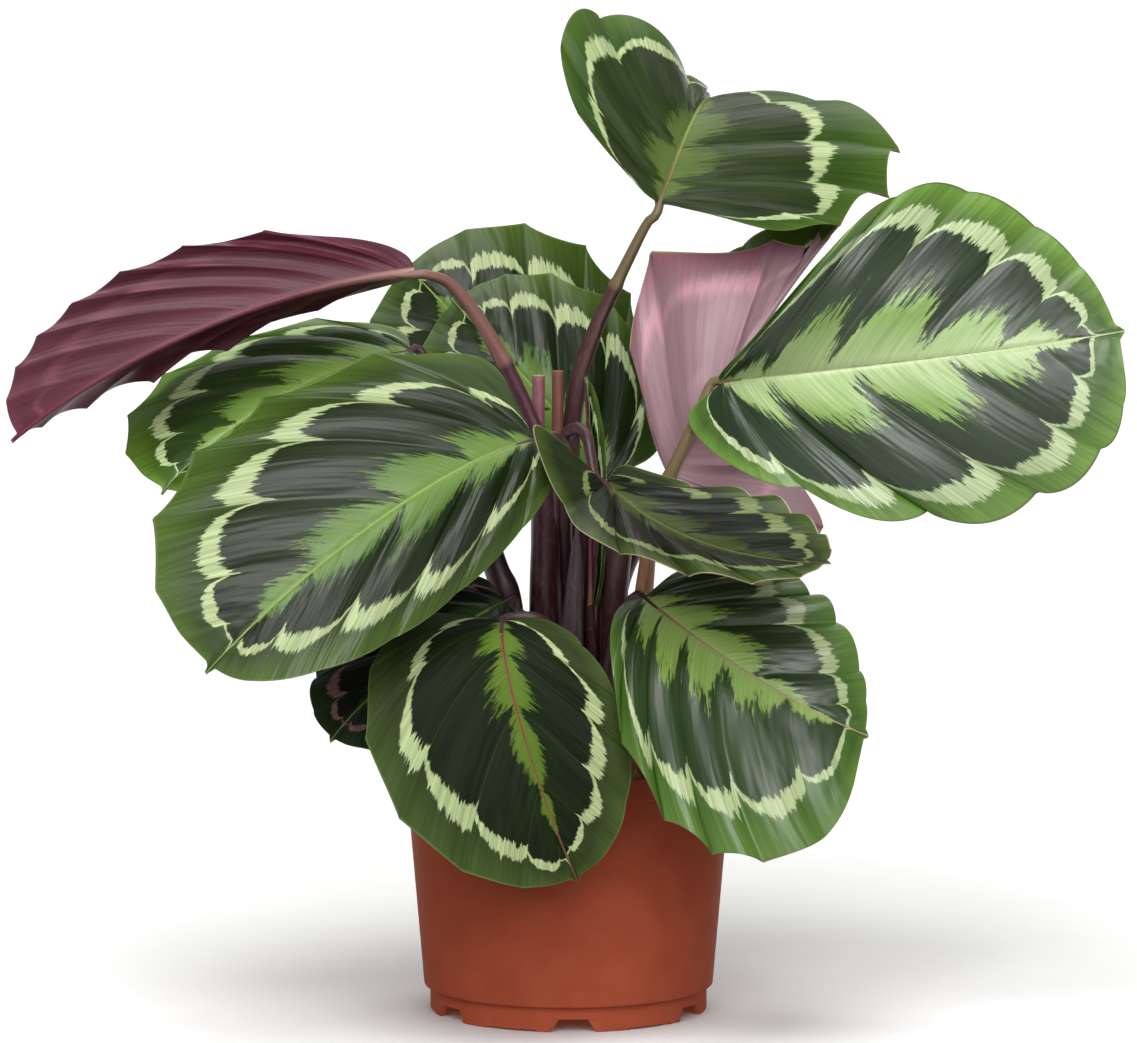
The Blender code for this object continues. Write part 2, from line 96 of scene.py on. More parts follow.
def ease(values: Sequence[float], share: Points) -> Points:
    """Run smoothly through a value at the base, the middle and the tip.

    Args:
        values: The three values.
        share: Shares of the length.

    Returns:
        The value at each share.
    """
    base, middle, tip = values
    near = base * (1 - share) * (1 - 2 * share)
    return near + middle * 4 * share * (1 - share) + tip * share * (2 * share - 1)


def run_along(points: Points) -> Points:
    """Return the length covered at each point of a line, from zero at its first."""
    return np.concatenate([[0], np.cumsum(np.linalg.norm(np.diff(points, axis=0), axis=1))])


def read_at(places: Points, known: Points, values: Points) -> Points:
    """Read vectors at some places, between those that are known at other, rising places."""
    return np.stack([np.interp(places, known, values[:, k]) for k in range(3)], -1)


def circle(radius: float, height: float, sides: int, centre: tuple = (0.0, 0.0)) -> Points:
    """Give even points of a level circle, anticlockwise from +X.

    Args:
        radius: Its radius.
        height: Its height.
        sides: Number of points.
        centre: Where its axis stands.

    Returns:
        One point a row.
    """
    angles = 2 * math.pi * np.arange(sides) / sides
    level = np.full(sides, float(height))
    return np.stack([centre[0] + radius * np.cos(angles), centre[1] + radius * np.sin(angles), level], 1)


class Tree:
    """A new material with its node tree, filled one node at a time."""

    def __init__(self, name: str) -> None:
        """Start an empty material.

        Args:
            name: The material's name.
        """
        self.material = bpy.data.materials.new(name)
        self.material.use_nodes = True
        self.nodes = self.material.node_tree.nodes
        self.nodes.clear()

    def add(self, kind: str, *links: Any, out: int = 0, named: dict[Any, Any] | None = None,
            **settings: Any) -> Any:
        """Add a node with its settings and links.

        Args:
            kind: The node's type without its ShaderNode prefix.
            *links: Sockets or values for the inputs in order; None leaves one as it is.
            out: Which output to hand back.
            named: Sockets or values for inputs by name or number.
            **settings: The node's own properties.

        Returns:
            The output socket asked for, or the node itself where it has none.
        """
        node = self.nodes.new("ShaderNode" + kind)
        for key, value in settings.items():
            setattr(node, key, value)
        wanted = [(node.inputs[i], value) for i, value in enumerate(links) if value is not None]
        wanted += [(node.inputs[key], value) for key, value in (named or {}).items()]
        for socket, value in wanted:
            if isinstance(value, bpy.types.NodeSocket):
                self.material.node_tree.links.new(value, socket)
            else:
                socket.default_value = value
        return node.outputs[out] if len(node.outputs) else node

    def coats(self, first: Any, *over: tuple[Any, Any]) -> Any:
        """Lay coats of colour over each other.

        Args:
            first: The lowest coat: a socket, RGBA or a hex colour.
            *over: A mask and a colour for each later coat, which covers where its mask is one.

        Returns:
            The colour that shows.
        """
        shown = linear(first) if isinstance(first, str) else first
        for mask, colour in over:
            coat = linear(colour) if isinstance(colour, str) else colour
            shown = self.add("Mix", data_type="RGBA", out=2, named={0: mask, 6: shown, 7: coat})
        return shown

    def finish(self, colour: Any, normal: Any, roughness: Any, **constants: float) -> bpy.types.Material:
        """End the tree in a Principled shader.

        Args:
            colour: Base colour socket.
            normal: Normal socket.
            roughness: Roughness socket or value.
            **constants: Values for the shader's own sockets, underscores for spaces.

        Returns:
            The finished material.
        """
        named = {key.replace("_", " "): value for key, value in constants.items()}
        named.update({"Base Color": colour, "Normal": normal, "Roughness": roughness})
        shader = self.add("BsdfPrincipled", named=named)
        self.add("OutputMaterial", shader)
        return self.material


@dataclass
class Build:
    """Points, faces and coordinates of one piece before it becomes an object."""

    points: list = field(default_factory=list)
    faces: list = field(default_factory=list)
    slots: list = field(default_factory=list)
    maps: dict = field(default_factory=dict)

    def ring(self, points: Sequence) -> list[int]:
        """Add a row of points and return their numbers."""
        self.points += list(points)
        return list(range(len(self.points) - len(points), len(self.points)))

    def bridge(self, rings: Sequence[list[int]], closed: bool = True) -> None:
        """Join each ring to the next, faces out where rings run anticlockwise and rise.

        Args:
            rings: The point numbers of each ring; a pole repeats one number.
            closed: False where a ring's last point isn't joined to its first.
        """
        for low, high in zip(rings, rings[1:]):
            for k in range(len(low) if closed else len(low) - 1):
                after = (k + 1) % len(low)
                face = list(dict.fromkeys((low[k], low[after], high[after], high[k])))
                if len(face) > 2:
                    self.faces.append(face)

    def prism(self, low: Sequence, high: Sequence) -> None:
        """Add a closed prism between two outlines.

        Args:
            low: The lower outline, anticlockwise.
            high: The upper one, of as many points.
        """
        ends = [self.ring(low), self.ring(high)]
        self.bridge(ends)
        self.faces += [ends[0][::-1], ends[1]]

    def object(self, name: str, materials: Sequence[bpy.types.Material] = (),
               angle: float = 50.0) -> bpy.types.Object:
        """Make the object, in metres, shaded smooth up to an angle.

        Args:
            name: The piece's name.
            materials: Its materials in slot order.
            angle: Edges sharper than this many degrees stay sharp.

        Returns:
            The linked object.
        """
        mesh = bpy.data.meshes.new(name)
        mesh.from_pydata((np.asarray(self.points, float) * MM).tolist(), [], self.faces)
        for material in materials:
            mesh.materials.append(material)
        if self.slots:
            mesh.polygons.foreach_set("material_index", self.slots)
        corners = np.empty(len(mesh.loops), np.int32)
        mesh.loops.foreach_get("vertex_index", corners)
        for key, values in self.maps.items():
            layer = mesh.uv_layers.new(name=key)
            layer.data.foreach_set("uv", np.asarray(values, np.float32)[corners].ravel())
        mesh.shade_smooth()
        mesh.set_sharp_from_angle(angle=math.radians(angle))
        mesh.update()
        piece = bpy.data.objects.new(name, mesh)
        bpy.context.scene.collection.objects.link(piece)
        return piece


def place(piece: bpy.types.Object, node: str | None = None) -> None:
    """Put a finished piece on the plant.

    Args:
        piece: The object.
        node: The CAD node that it stands for, if any.
    """
    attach(piece, BODY)
    if node:
        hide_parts(node)
    log.info("%s: %d faces", piece.name, len(piece.data.polygons))


# ------------------------------------------------------------------ blades


@dataclass(frozen=True)
class BladeTone:
    """Colours of one blade. Living leaf, waxy above: the eye sees paint-like zones under a satin skin."""

    dark: str = "#17260F"
    dark_streak: str = "#223215"
    band: str = "#B7C893"
    band_edge: str = "#8DA263"
    feather: str = "#55732E"
    feather_core: str = "#728F48"
    margin: str = "#33461A"
    margin_far: str = "#4C6624"
    rib_base: str = "#7D7A40"
    rib_tip: str = "#93B25A"
    rim: str = "#5C7338"
    under: str = "#4E2032"
    under_streak: str = "#774050"
    under_band: str = "#7F4456"
    under_rib: str = "#9A7260"
    under_far: str = "#5A2436"
    wax: tuple = (0.26, 0.38)
    shine: float = 0.3


@dataclass(frozen=True)
class BladeShape:
    """One blade in millimetres and degrees: midrib, facing, halves, folds, curls and veins.

    A field of two values holds the left and the right half's, seen from the base with the upper side
    up. A field of three holds the values at the base, the middle and the tip.
    """

    name: str
    rib: tuple
    facing: tuple
    half: tuple
    fold_left: tuple = (10, 10, 10)
    fold_right: tuple = (10, 10, 10)
    curl_left: tuple = (-20, -20, -20)
    curl_right: tuple = (-20, -20, -20)
    lobe: tuple = (6, 6)
    widest: tuple = (0.48, 0.48)
    base_round: tuple = (0.44, 0.44)
    tip_round: tuple = (0.44, 0.44)
    veins_left: tuple = (0.05, 0.20, 0.39, 0.60, 0.79, 0.91)
    veins_right: tuple = (0.06, 0.22, 0.41, 0.61, 0.80, 0.91)
    band_left: tuple = (0.55, 0.74, 0.62)
    band_right: tuple = (0.55, 0.74, 0.62)
    feather_left: tuple = (0.20, 0.34, 0.26)
    feather_right: tuple = (0.20, 0.34, 0.26)
    vein_start: float = 1.9
    vein_end: float = 0.55
    swell: float = 3.0
    scallop: float = 3.2
    cusp: tuple = (0.8, 0.8)
    hooked: float = 1.0
    seed: int = 0
    tone: BladeTone = BladeTone()

    def pair(self, name: str, left: Points) -> Points:
        """Pick the left or right value of a two-value field for each point."""
        return np.where(left, *getattr(self, name))


class Rib:
    """A blade's midrib: even samples with forward, up and right directions."""

    SAMPLES = 81
    CURVE_STEPS = 401

    def __init__(self, shape: BladeShape) -> None:
        """Sample the midrib's curve.

        Args:
            shape: The blade.
        """
        start, bend, reach, end = np.array(shape.rib, float)
        t = np.linspace(0, 1, self.CURVE_STEPS)[:, None]
        curve = ((1 - t) ** 3 * start + 3 * (1 - t) ** 2 * t * bend
                 + 3 * (1 - t) * t ** 2 * reach + t ** 3 * end)
        run = run_along(curve)
        self.length = float(run[-1])
        self.place = np.linspace(0, self.length, self.SAMPLES)
        self.points = read_at(self.place, run, curve)
        self.forward = unit(np.gradient(self.points, self.place, axis=0))
        self.up = self.carry_up(shape.facing)
        self.right = np.cross(self.forward, self.up)

    def carry_up(self, facing: tuple) -> Points:
        """Carry the facing direction from the middle to both ends without twist.

        Args:
            facing: Azimuth and elevation of the upper side at mid-length.

        Returns:
            The up direction at each sample.
        """
        up = np.zeros_like(self.forward)
        middle = self.SAMPLES // 2
        up[middle] = heading(*facing)
        order = [(middle, middle)]
        order += [(i, i - 1) for i in range(middle + 1, self.SAMPLES)]
        order += [(i, i + 1) for i in range(middle - 1, -1, -1)]
        for here, before in order:
            up[here] = unit(up[before] - up[before].dot(self.forward[here]) * self.forward[here])
        return up

    def at(self, x: Points) -> tuple[Points, Points, Points]:
        """Find the place, up and right directions at lengths along the midrib.

        Args:
            x: Lengths in millimetres; the rib runs straight on past its ends.

        Returns:
            Points, ups and rights.
        """
        held = np.clip(x, 0, self.length)
        known = (self.points, self.forward, self.up, self.right)
        point, forward, up, right = (read_at(held, self.place, values) for values in known)
        return point + (x - held)[..., None] * forward, up, right


@dataclass
class Blade:
    """A leaf blade: one closed skin with a swollen rib below and panels raised between its veins.

    Lengths are in millimetres. Shares run from 0 at the base or midrib to 1 at the tip or margin.
    """

    shape: BladeShape
    rows: int = 150
    columns: int = 59
    row_crowding: float = 1.4
    column_crowding: float = 1.35
    first_row: float = 0.0003
    row_span: float = 0.9957
    thickness: float = 0.5
    rim_thickness: float = 0.3
    rib_height: float = 1.6
    rib_width: float = 2.3
    rib_narrowing: float = 0.72
    rib_lowering: float = 0.82
    groove: float = 0.45
    groove_width: float = 1.1
    oval_end: float = 0.975
    point_width: float = 0.09
    point_length: float = 0.05
    point_start: float = 0.5
    point_rise: float = 0.4
    point_join: float = 4
    lobe_fade: float = 2.5
    lobe_rise: float = 0.02
    lobe_bend: float = 1.3
    vein_bend: float = 1.2
    flat_curl: float = 1e-6

    def outline(self, share: Points, left: Points) -> Points:
        """Give the half width as a part of the largest: an oval, joined softly to a drip tip.

        Args:
            share: Shares of the length at the margin.
            left: True on the left half.

        Returns:
            Parts of the half width.
        """
        names = ("widest", "base_round", "tip_round")
        widest, base_round, tip_round = (self.shape.pair(name, left) for name in names)
        along = np.clip(share / self.oval_end, 0, 1) ** (np.log(0.5) / np.log(widest))
        power = base_round + (tip_round - base_round) * share ** 2
        oval = np.clip(np.sin(np.pi * along), 0, 1) ** power
        start = np.clip((share - self.point_start) / self.point_rise, 0, 1)
        point = self.point_width * np.clip((1 - share) / self.point_length, 0, 1) * start
        return (oval ** self.point_join + point ** self.point_join) ** (1 / self.point_join)

    def panels(self, vein: Points, left: Points) -> tuple[Points, Points]:
        """Count the panels between side veins from the base: a whole number lies on a vein.

        Args:
            vein: Vein coordinates.
            left: True on the left half.

        Returns:
            Panel counts, and how wide the panel is at each point.
        """
        counts, widths = [], []
        for veins in (self.shape.veins_left, self.shape.veins_right):
            marks = np.concatenate([[0.0], veins, [1.0]])
            count = np.interp(vein, marks, np.arange(len(marks)))
            gaps = np.append(np.diff(marks), 0.0)
            counts.append(count)
            widths.append(gaps[np.floor(count).astype(int)])
        return np.where(left, *counts), np.where(left, *widths)

    def rows_and_columns(self) -> tuple[Points, Points]:
        """Space the grid: rows along the veins, closer together at the base, and columns across.

        Returns:
            The vein coordinate and the place across, from -1 to 1, of each grid point.
        """
        even = np.linspace(0, 1, self.rows) ** self.row_crowding
        eased = 0.35 * even ** (1 / self.shape.vein_end) + 0.65 * even
        spread = np.linspace(-1, 1, self.columns)
        across = np.sign(spread) * np.abs(spread) ** self.column_crowding
        return np.meshgrid(self.first_row + self.row_span * eased, across, indexing="ij")

    def sheet(self) -> dict[str, Points]:
        """Work out the middle sheet of the blade as a grid.

        Returns:
            Points, normals and the coordinates that patterns follow.
        """
        shape = self.shape
        rib = Rib(shape)
        vein, across = self.rows_and_columns()
        reach, left = np.abs(across), across < 0
        # A vein leaves the midrib at one share of the length and meets the margin further on.
        ahead = vein + 2.0 * vein ** 3.5 * (1 - vein) ** 1.5
        at_rib, at_edge = vein ** shape.vein_start, ahead ** shape.vein_end
        sweep = reach ** self.vein_bend
        pull = shape.pair("lobe", left) * (1 - at_edge) ** self.lobe_fade * reach ** self.lobe_bend
        pull = pull * (1 - np.exp(-at_edge / self.lobe_rise))
        x = rib.length * (at_rib * (1 - sweep) + at_edge * sweep) - pull
        # The margin draws in at each vein and stands out between two.
        half = shape.pair("half", left)
        panel, width = self.panels(vein, left)
        bite = shape.pair("cusp", left) * (0.5 - np.abs(np.sin(np.pi * panel)) ** 0.7) * reach ** 5
        y = half * self.outline(at_edge, left) * reach
        y = y - bite * np.sin(np.pi * np.clip(at_edge, 0, 1)) ** 0.5
        # Each half folds up from the midrib and curls in an arc.
        share = np.clip(x / rib.length, 0, 1)
        fold = np.radians(np.where(left, ease(shape.fold_left, share), ease(shape.fold_right, share)))
        bend = np.where(left, ease(shape.curl_left, share), ease(shape.curl_right, share))
        curl = np.radians(bend) / half
        curl = np.where(np.abs(curl) < self.flat_curl, self.flat_curl, curl)
        side = np.where(left, -1.0, 1.0)
        end = fold + curl * y
        out = side * (np.sin(end) - np.sin(fold)) / curl
        rise = (np.cos(fold) - np.cos(end)) / curl
        point, up, right = rib.at(x)
        points = point + out[..., None] * right + rise[..., None] * up
        normals = (-np.sin(end) * side)[..., None] * right + np.cos(end)[..., None] * up
        points = points + self.relief(panel, width, reach, side, at_edge, y)[..., None] * normals
        return {"points": points, "up": normals, "vein": vein, "across": across, "panel": panel,
                "side": side, "x": x, "y": y}

    def relief(self, panel: Points, width: Points, reach: Points, side: Points, edge: Points,
               y: Points) -> Points:
        """Raise the panels between the veins, more towards the margin, and sink the midrib.

        Args:
            panel: Panel counts.
            width: The width of each point's panel.
            reach: Distance from the midrib as a part of the half width.
            side: Minus one on the left half, one on the right.
            edge: Shares of the length at the margin.
            y: Distance from the midrib in millimetres.

        Returns:
            Heights above the plain sheet.
        """
        seed = self.shape.seed
        crest = np.abs(np.sin(np.pi * panel)) ** 0.8 - 0.6
        uneven = width / 0.2 * (1 + 0.25 * np.sin(2.4 * np.floor(panel) + seed + 1.7 * side))
        ends = np.sin(np.pi * np.clip(edge, 0.01, 0.99)) ** 0.6
        swell = self.shape.swell * np.clip(reach / 0.3, 0, 1) ** 1.5
        flare = self.shape.scallop * reach ** 3
        wander = 0.8 * reach ** 2 * np.sin(5.1 * edge + seed)
        groove = self.groove * np.exp(-(y / self.groove_width) ** 2)
        return (crest * uneven * (swell + flare) + wander) * ends - groove

    def paint_places(self, vein: Points, left: Points) -> tuple[Points, Points]:
        """Work out where the pale band runs and how far the feather reaches.

        Args:
            vein: Vein coordinates.
            left: True on the left half.

        Returns:
            Both as parts of the half width.
        """
        shape = self.shape
        bands, feathers = [], []
        for near, middle, far in (shape.band_left, shape.band_right):
            bands.append(np.interp(vein, (0, 0.08, 0.28, 0.72, 0.9, 0.97),
                                   (near - 0.25, near, middle, middle, far, 0.0)))
        for near, middle, far in (shape.feather_left, shape.feather_right):
            feathers.append(np.interp(vein, (0.04, 0.28, 0.55, 0.82, 0.96), (0.0, near, middle, far, 0.02)))
        return np.where(left, *bands), np.where(left, *feathers)

    def skin(self) -> Build:
        """Close the sheet into a thin skin with a rounded rib below.

        Returns:
            The mesh data, with a slot for each face and the coordinate maps.
        """
        grid = self.sheet()
        points, vein, across = grid["points"], grid["vein"], grid["across"]
        normals = np.cross(np.gradient(points, axis=0), np.gradient(points, axis=1))
        normals *= np.sign((normals * grid["up"]).sum(-1, keepdims=True))
        normals /= np.linalg.norm(normals, axis=-1, keepdims=True) + 1e-9
        skin = self.thickness + (self.rim_thickness - self.thickness) * np.abs(across) ** 3
        width = self.rib_width * (1 - self.rib_narrowing * vein)
        height = self.rib_height * (1 - self.rib_lowering * vein)
        ridge = height * np.clip(1 - (grid["y"] / width) ** 2, 0, 1) ** 1.5
        top = points + normals * (skin / 2)[..., None]
        low = points - normals * (skin / 2 + ridge)[..., None]
        number = np.arange(vein.size).reshape(vein.shape)
        corners = (number[:-1, :-1], number[:-1, 1:], number[1:, 1:], number[1:, :-1])
        upper = np.stack(corners, -1).reshape(-1, 4)
        lower = upper[:, ::-1] + number.size
        ring = np.concatenate([number[0, :-1], number[:-1, -1], number[-1, :0:-1], number[:0:-1, 0]])
        after = np.roll(ring, -1)
        rim = np.stack([after, ring, ring + number.size, after + number.size], 1)
        build = Build(np.concatenate([top.reshape(-1, 3), low.reshape(-1, 3)]))
        for side, faces in zip(Face, (upper, lower, rim)):
            build.faces += faces.tolist()
            build.slots += [side.value] * len(faces)
        maps = {"vein": (vein, across), "panel": (grid["panel"], self.shape.seed * 10 + grid["side"] * 2),
                "span": (grid["x"] / 100, grid["y"] * grid["side"] / 100),
                "paint": self.paint_places(vein, across < 0)}
        for key, pair in maps.items():
            flat = np.stack(pair, -1).reshape(-1, 2)
            build.maps[key] = np.concatenate([flat, flat])
        return build

    def make(self) -> None:
        """Build, paint and place the blade."""
        materials = [FINISHES[side](self.shape).make() for side in Face]
        piece = self.skin().object(self.shape.name + "_skin", materials, angle=70)
        place(piece, self.shape.name)


class BladePaint(Tree):
    """Paint of one blade, laid out on its veins: teeth, hooks and feather ends all run along them.

    Widths of the band, its arcs, hooks and teeth are parts of the half width.
    """

    NAME = "leaf"
    STRAND_MM = 1.7
    FINE_VEIN_MM = 1.1
    FINE_DEPTH_MM = 0.05
    BAND_THIN = 0.018
    BAND_GROW = 0.038
    BAND_ARCH = 0.03
    DIP = 0.10
    HOOK = 0.08
    TOOTH = 0.055
    FRINGE = 0.20

    def __init__(self, shape: BladeShape) -> None:
        """Add the coordinates that every pattern follows.

        Args:
            shape: The blade.
        """
        super().__init__(self.NAME + "_" + shape.name)
        self.shape = shape
        self.length = Rib(shape).length
        maps = ("vein", "panel", "span", "paint")
        vein, panel, span, paint = (self.add("UVMap", uv_map=key) for key in maps)
        self.vein = self.add("SeparateXYZ", vein)
        self.reach = self.add("Math", self.add("SeparateXYZ", vein, out=1), operation="ABSOLUTE")
        self.seed = self.add("SeparateXYZ", panel, out=1)
        self.width = self.add("Math", self.add("SeparateXYZ", span, out=1), operation="ABSOLUTE")
        self.band = self.add("SeparateXYZ", paint)
        self.feather = self.add("SeparateXYZ", paint, out=1)
        count = self.add("SeparateXYZ", panel)
        self.phase = self.add("Math", count, operation="FRACT")
        number = self.add("Math", count, operation="FLOOR")
        spot = self.add("CombineXYZ", number, self.seed, 0.0)
        self.chance = self.add("TexWhiteNoise", spot, noise_dimensions="3D")

    def strands(self, size: float, run: float, shift: float, detail: float = 2.0) -> Any:
        """Add noise drawn out along the veins.

        Args:
            size: Spacing across the veins in millimetres.
            run: Cycles from the midrib to the margin.
            shift: Moves the noise so that two uses differ.
            detail: Octaves.

        Returns:
            A value around one half.
        """
        along = self.add("Math", self.vein, self.length / size, operation="MULTIPLY")
        outward = self.add("Math", self.reach, run, operation="MULTIPLY")
        apart = self.add("Math", self.seed, shift, operation="ADD")
        spot = self.add("CombineXYZ", along, outward, apart)
        return self.add("TexNoise", named={"Vector": spot, "Scale": 1.0, "Detail": detail,
                                           "Roughness": 0.75})

    def teeth(self, shift: float, length: float) -> Any:
        """Add ragged offsets around zero for a painted edge, unlike those of another shift."""
        noise = self.add("Math", self.strands(self.STRAND_MM, 4.5, shift, 4.0), 0.5, operation="SUBTRACT")
        return self.add("Math", noise, length * 4, operation="MULTIPLY")

    def step(self, value: Any, edge: Any, soft: float) -> Any:
        """Add a step from zero to one where a value passes an edge, softened on both sides."""
        past = self.add("Math", value, edge, operation="SUBTRACT")
        return self.add("MapRange", past, -soft, soft, 0.0, 1.0, interpolation_type="SMOOTHSTEP")

    def band_edges(self) -> tuple[Any, Any]:
        """Add the pale band's edges: each panel's arc starts thin, swells and hooks inward at its far vein.

        Returns:
            The inner and outer edge as parts of the half width.
        """
        hook = self.HOOK * self.shape.hooked
        arch = self.add("Math", self.phase, math.pi, operation="MULTIPLY")
        arch = self.add("Math", arch, operation="SINE")
        middle = self.add("Math", arch, self.BAND_ARCH, self.band, operation="MULTIPLY_ADD")
        middle = self.add("Math", self.chance, 0.02, middle, operation="MULTIPLY_ADD")
        early = self.add("MapRange", self.phase, 0.0, 0.26, 1.0, 0.0)
        early = self.add("Math", early, 2.4, operation="POWER")
        middle = self.add("Math", early, -self.DIP * self.shape.hooked, middle, operation="MULTIPLY_ADD")
        late = self.add("MapRange", self.phase, 0.84, 1.0, 0.0, 1.0)
        late = self.add("Math", late, 1.7, operation="POWER")
        middle = self.add("Math", late, -0.5 * hook, middle, operation="MULTIPLY_ADD")
        half = self.add("MapRange", self.phase, 0.02, 0.6, 0.0, 1.0, interpolation_type="SMOOTHSTEP")
        half = self.add("Math", half, self.BAND_GROW, self.BAND_THIN, operation="MULTIPLY_ADD")
        outer = self.add("Math", middle, half, operation="ADD")
        inner = self.add("Math", middle, half, operation="SUBTRACT")
        inner = self.add("Math", late, -hook, inner, operation="MULTIPLY_ADD")
        rough = self.add("MapRange", self.phase, 0.0, 0.7, 0.35, 1.0)
        outer = self.add("Math", self.teeth(0.0, self.TOOTH), rough, outer, operation="MULTIPLY_ADD")
        inner = self.add("Math", self.teeth(31.0, self.TOOTH), rough, inner, operation="MULTIPLY_ADD")
        return inner, outer

    def shaded(self, colour: Any, fine: Any, dark: float, light: float) -> Any:
        """Draw the hair-fine parallel veins.

        Args:
            colour: The colour below.
            fine: The fine strand noise.
            dark: The shade between veins.
            light: The shade on them.

        Returns:
            The colour with veins.
        """
        shade = self.add("MapRange", fine, 0.30, 0.70, dark, light, clamp=False)
        grey = self.add("CombineColor", shade, shade, shade)
        return self.add("Mix", data_type="RGBA", blend_type="MULTIPLY", out=2,
                        named={0: 1.0, 6: colour, 7: grey})

    def rib_line(self, half: float, base: str, tip: str) -> tuple[Any, Any]:
        """Draw the midrib, narrowing to the tip.

        Args:
            half: Half width at the base, in tenths of a metre.
            base: Hex colour near the stalk.
            tip: Hex colour near the tip.

        Returns:
            The midrib as a coat: its mask and its colour.
        """
        narrow = self.add("MapRange", self.vein, 0.0, 1.0, half, half * 0.3)
        outside = self.step(self.width, narrow, half * 0.22)
        inside = self.add("Math", 1.0, outside, operation="SUBTRACT")
        along = self.add("MapRange", self.vein, 0.02, 0.5, 0.0, 1.0)
        return inside, self.coats(base, (along, tip))

    def bump(self, fine: Any, coarse: Any, depth: float) -> Any:
        """Raise the fine veins on broader ripples, which are this many millimetres deep."""
        ripples = self.add("Bump", named={"Strength": 1.0, "Distance": depth * MM, "Height": coarse})
        return self.add("Bump", named={"Strength": 1.0, "Distance": self.FINE_DEPTH_MM * MM, "Height": fine,
                                       "Normal": ripples})


class UpperSkin(BladePaint):
    """Waxy cuticle over green leaf: dark enamel-like panels, a ragged pale ring and a feathered rib."""

    NAME = "waxy_leaf"
    RIPPLE_MM = 0.9
    SOFT_EDGE = 0.007

    def feather_mask(self) -> Any:
        """Add the pale feather along the midrib: a ragged lobe in each panel, drawn in at the veins.

        Returns:
            One on the feather.
        """
        rise = self.add("MapRange", self.phase, 0.0, 0.30, 0.32, 1.0, interpolation_type="SMOOTHSTEP")
        fall = self.add("MapRange", self.phase, 0.72, 1.0, 1.0, 0.22, interpolation_type="SMOOTHSTEP")
        lobe = self.add("Math", rise, fall, operation="MULTIPLY")
        vary = self.add("Math", self.chance, 0.35, 0.85, operation="MULTIPLY_ADD")
        lobe = self.add("Math", lobe, vary, operation="MULTIPLY")
        length = self.add("Math", lobe, self.feather, operation="MULTIPLY")
        share = self.add("MapRange", self.feather, 0.0, 0.25, 0.0, 1.0)
        length = self.add("Math", self.teeth(57.0, self.FRINGE), share, length, operation="MULTIPLY_ADD")
        return self.add("Math", 1.0, self.step(self.reach, length, 0.03), operation="SUBTRACT")

    def make(self) -> bpy.types.Material:
        """Paint the upper side.

        Returns:
            The material.
        """
        tone = self.shape.tone
        coarse = self.strands(9.0, 1.2, 11.0)
        fine = self.strands(self.FINE_VEIN_MM, 0.8, 71.0)
        inner, outer = (self.step(self.reach, edge, self.SOFT_EDGE) for edge in self.band_edges())
        not_beyond = self.add("Math", 1.0, outer, operation="SUBTRACT")
        band = self.add("Math", inner, not_beyond, operation="MULTIPLY")
        streak = self.add("MapRange", coarse, 0.35, 0.7, 0.0, 1.0)
        far = self.add("MapRange", self.reach, 0.78, 1.0, 0.0, 1.0)
        far = self.add("Math", far, coarse, operation="MULTIPLY")
        far = self.add("Math", far, 2.0, operation="MULTIPLY", use_clamp=True)
        core = self.add("MapRange", self.reach, 0.0, 0.30, 1.0, 0.0)
        pale = self.add("MapRange", fine, 0.38, 0.62, 0.55, 1.0)
        painted = self.coats(
            tone.dark,
            (streak, tone.dark_streak),
            (outer, self.coats(tone.margin, (far, tone.margin_far))),
            (self.feather_mask(), self.coats(tone.feather, (core, tone.feather_core))),
            (band, self.coats(tone.band_edge, (pale, tone.band))),
        )
        middle = self.add("Math", self.phase, 0.5, operation="SUBTRACT")
        middle = self.add("Math", middle, operation="ABSOLUTE")
        main_veins = self.add("MapRange", middle, 0.485, 0.5, 0.0, 0.35)
        colour = self.coats(
            self.shaded(painted, fine, 0.80, 1.16),
            (main_veins, tone.margin_far),
            self.rib_line(0.0095, tone.rib_base, tone.rib_tip),
            (self.step(self.reach, 0.990, 0.004), tone.rim),
        )
        gloss = self.add("MapRange", fine, 0.2, 0.8, *tone.wax)
        normal = self.bump(fine, coarse, self.RIPPLE_MM)
        return self.finish(colour, normal, gloss, IOR=1.45, Specular_IOR_Level=tone.shine)


class LowerSkin(BladePaint):
    """Anthocyanin-purple skin: the eye sees a silky gloss, a ghost of the ring and a pale, swollen rib."""

    NAME = "silky_leaf_back"
    RIPPLE_MM = 0.4
    SOFT_EDGE = 0.05

    def make(self) -> bpy.types.Material:
        """Paint the lower side.

        Returns:
            The material.
        """
        tone = self.shape.tone
        coarse = self.strands(7.0, 1.0, 17.0)
        fine = self.strands(self.FINE_VEIN_MM, 0.7, 91.0)
        streak = self.add("MapRange", coarse, 0.30, 0.70, 0.1, 0.7)
        far = self.add("MapRange", self.reach, 0.82, 1.0, 0.0, 0.8)
        inner, outer = (self.step(self.reach, edge, self.SOFT_EDGE) for edge in self.band_edges())
        ghost = self.add("Math", inner, outer, operation="SUBTRACT")
        painted = self.coats(tone.under, (streak, tone.under_streak), (far, tone.under_far),
                             (ghost, tone.under_band))
        colour = self.coats(
            self.shaded(painted, fine, 0.88, 1.10),
            self.rib_line(0.021, tone.under_rib, tone.under_streak),
            (self.step(self.reach, 0.992, 0.004), tone.rim),
        )
        return self.finish(colour, self.bump(fine, coarse, self.RIPPLE_MM), 0.42, IOR=1.45)


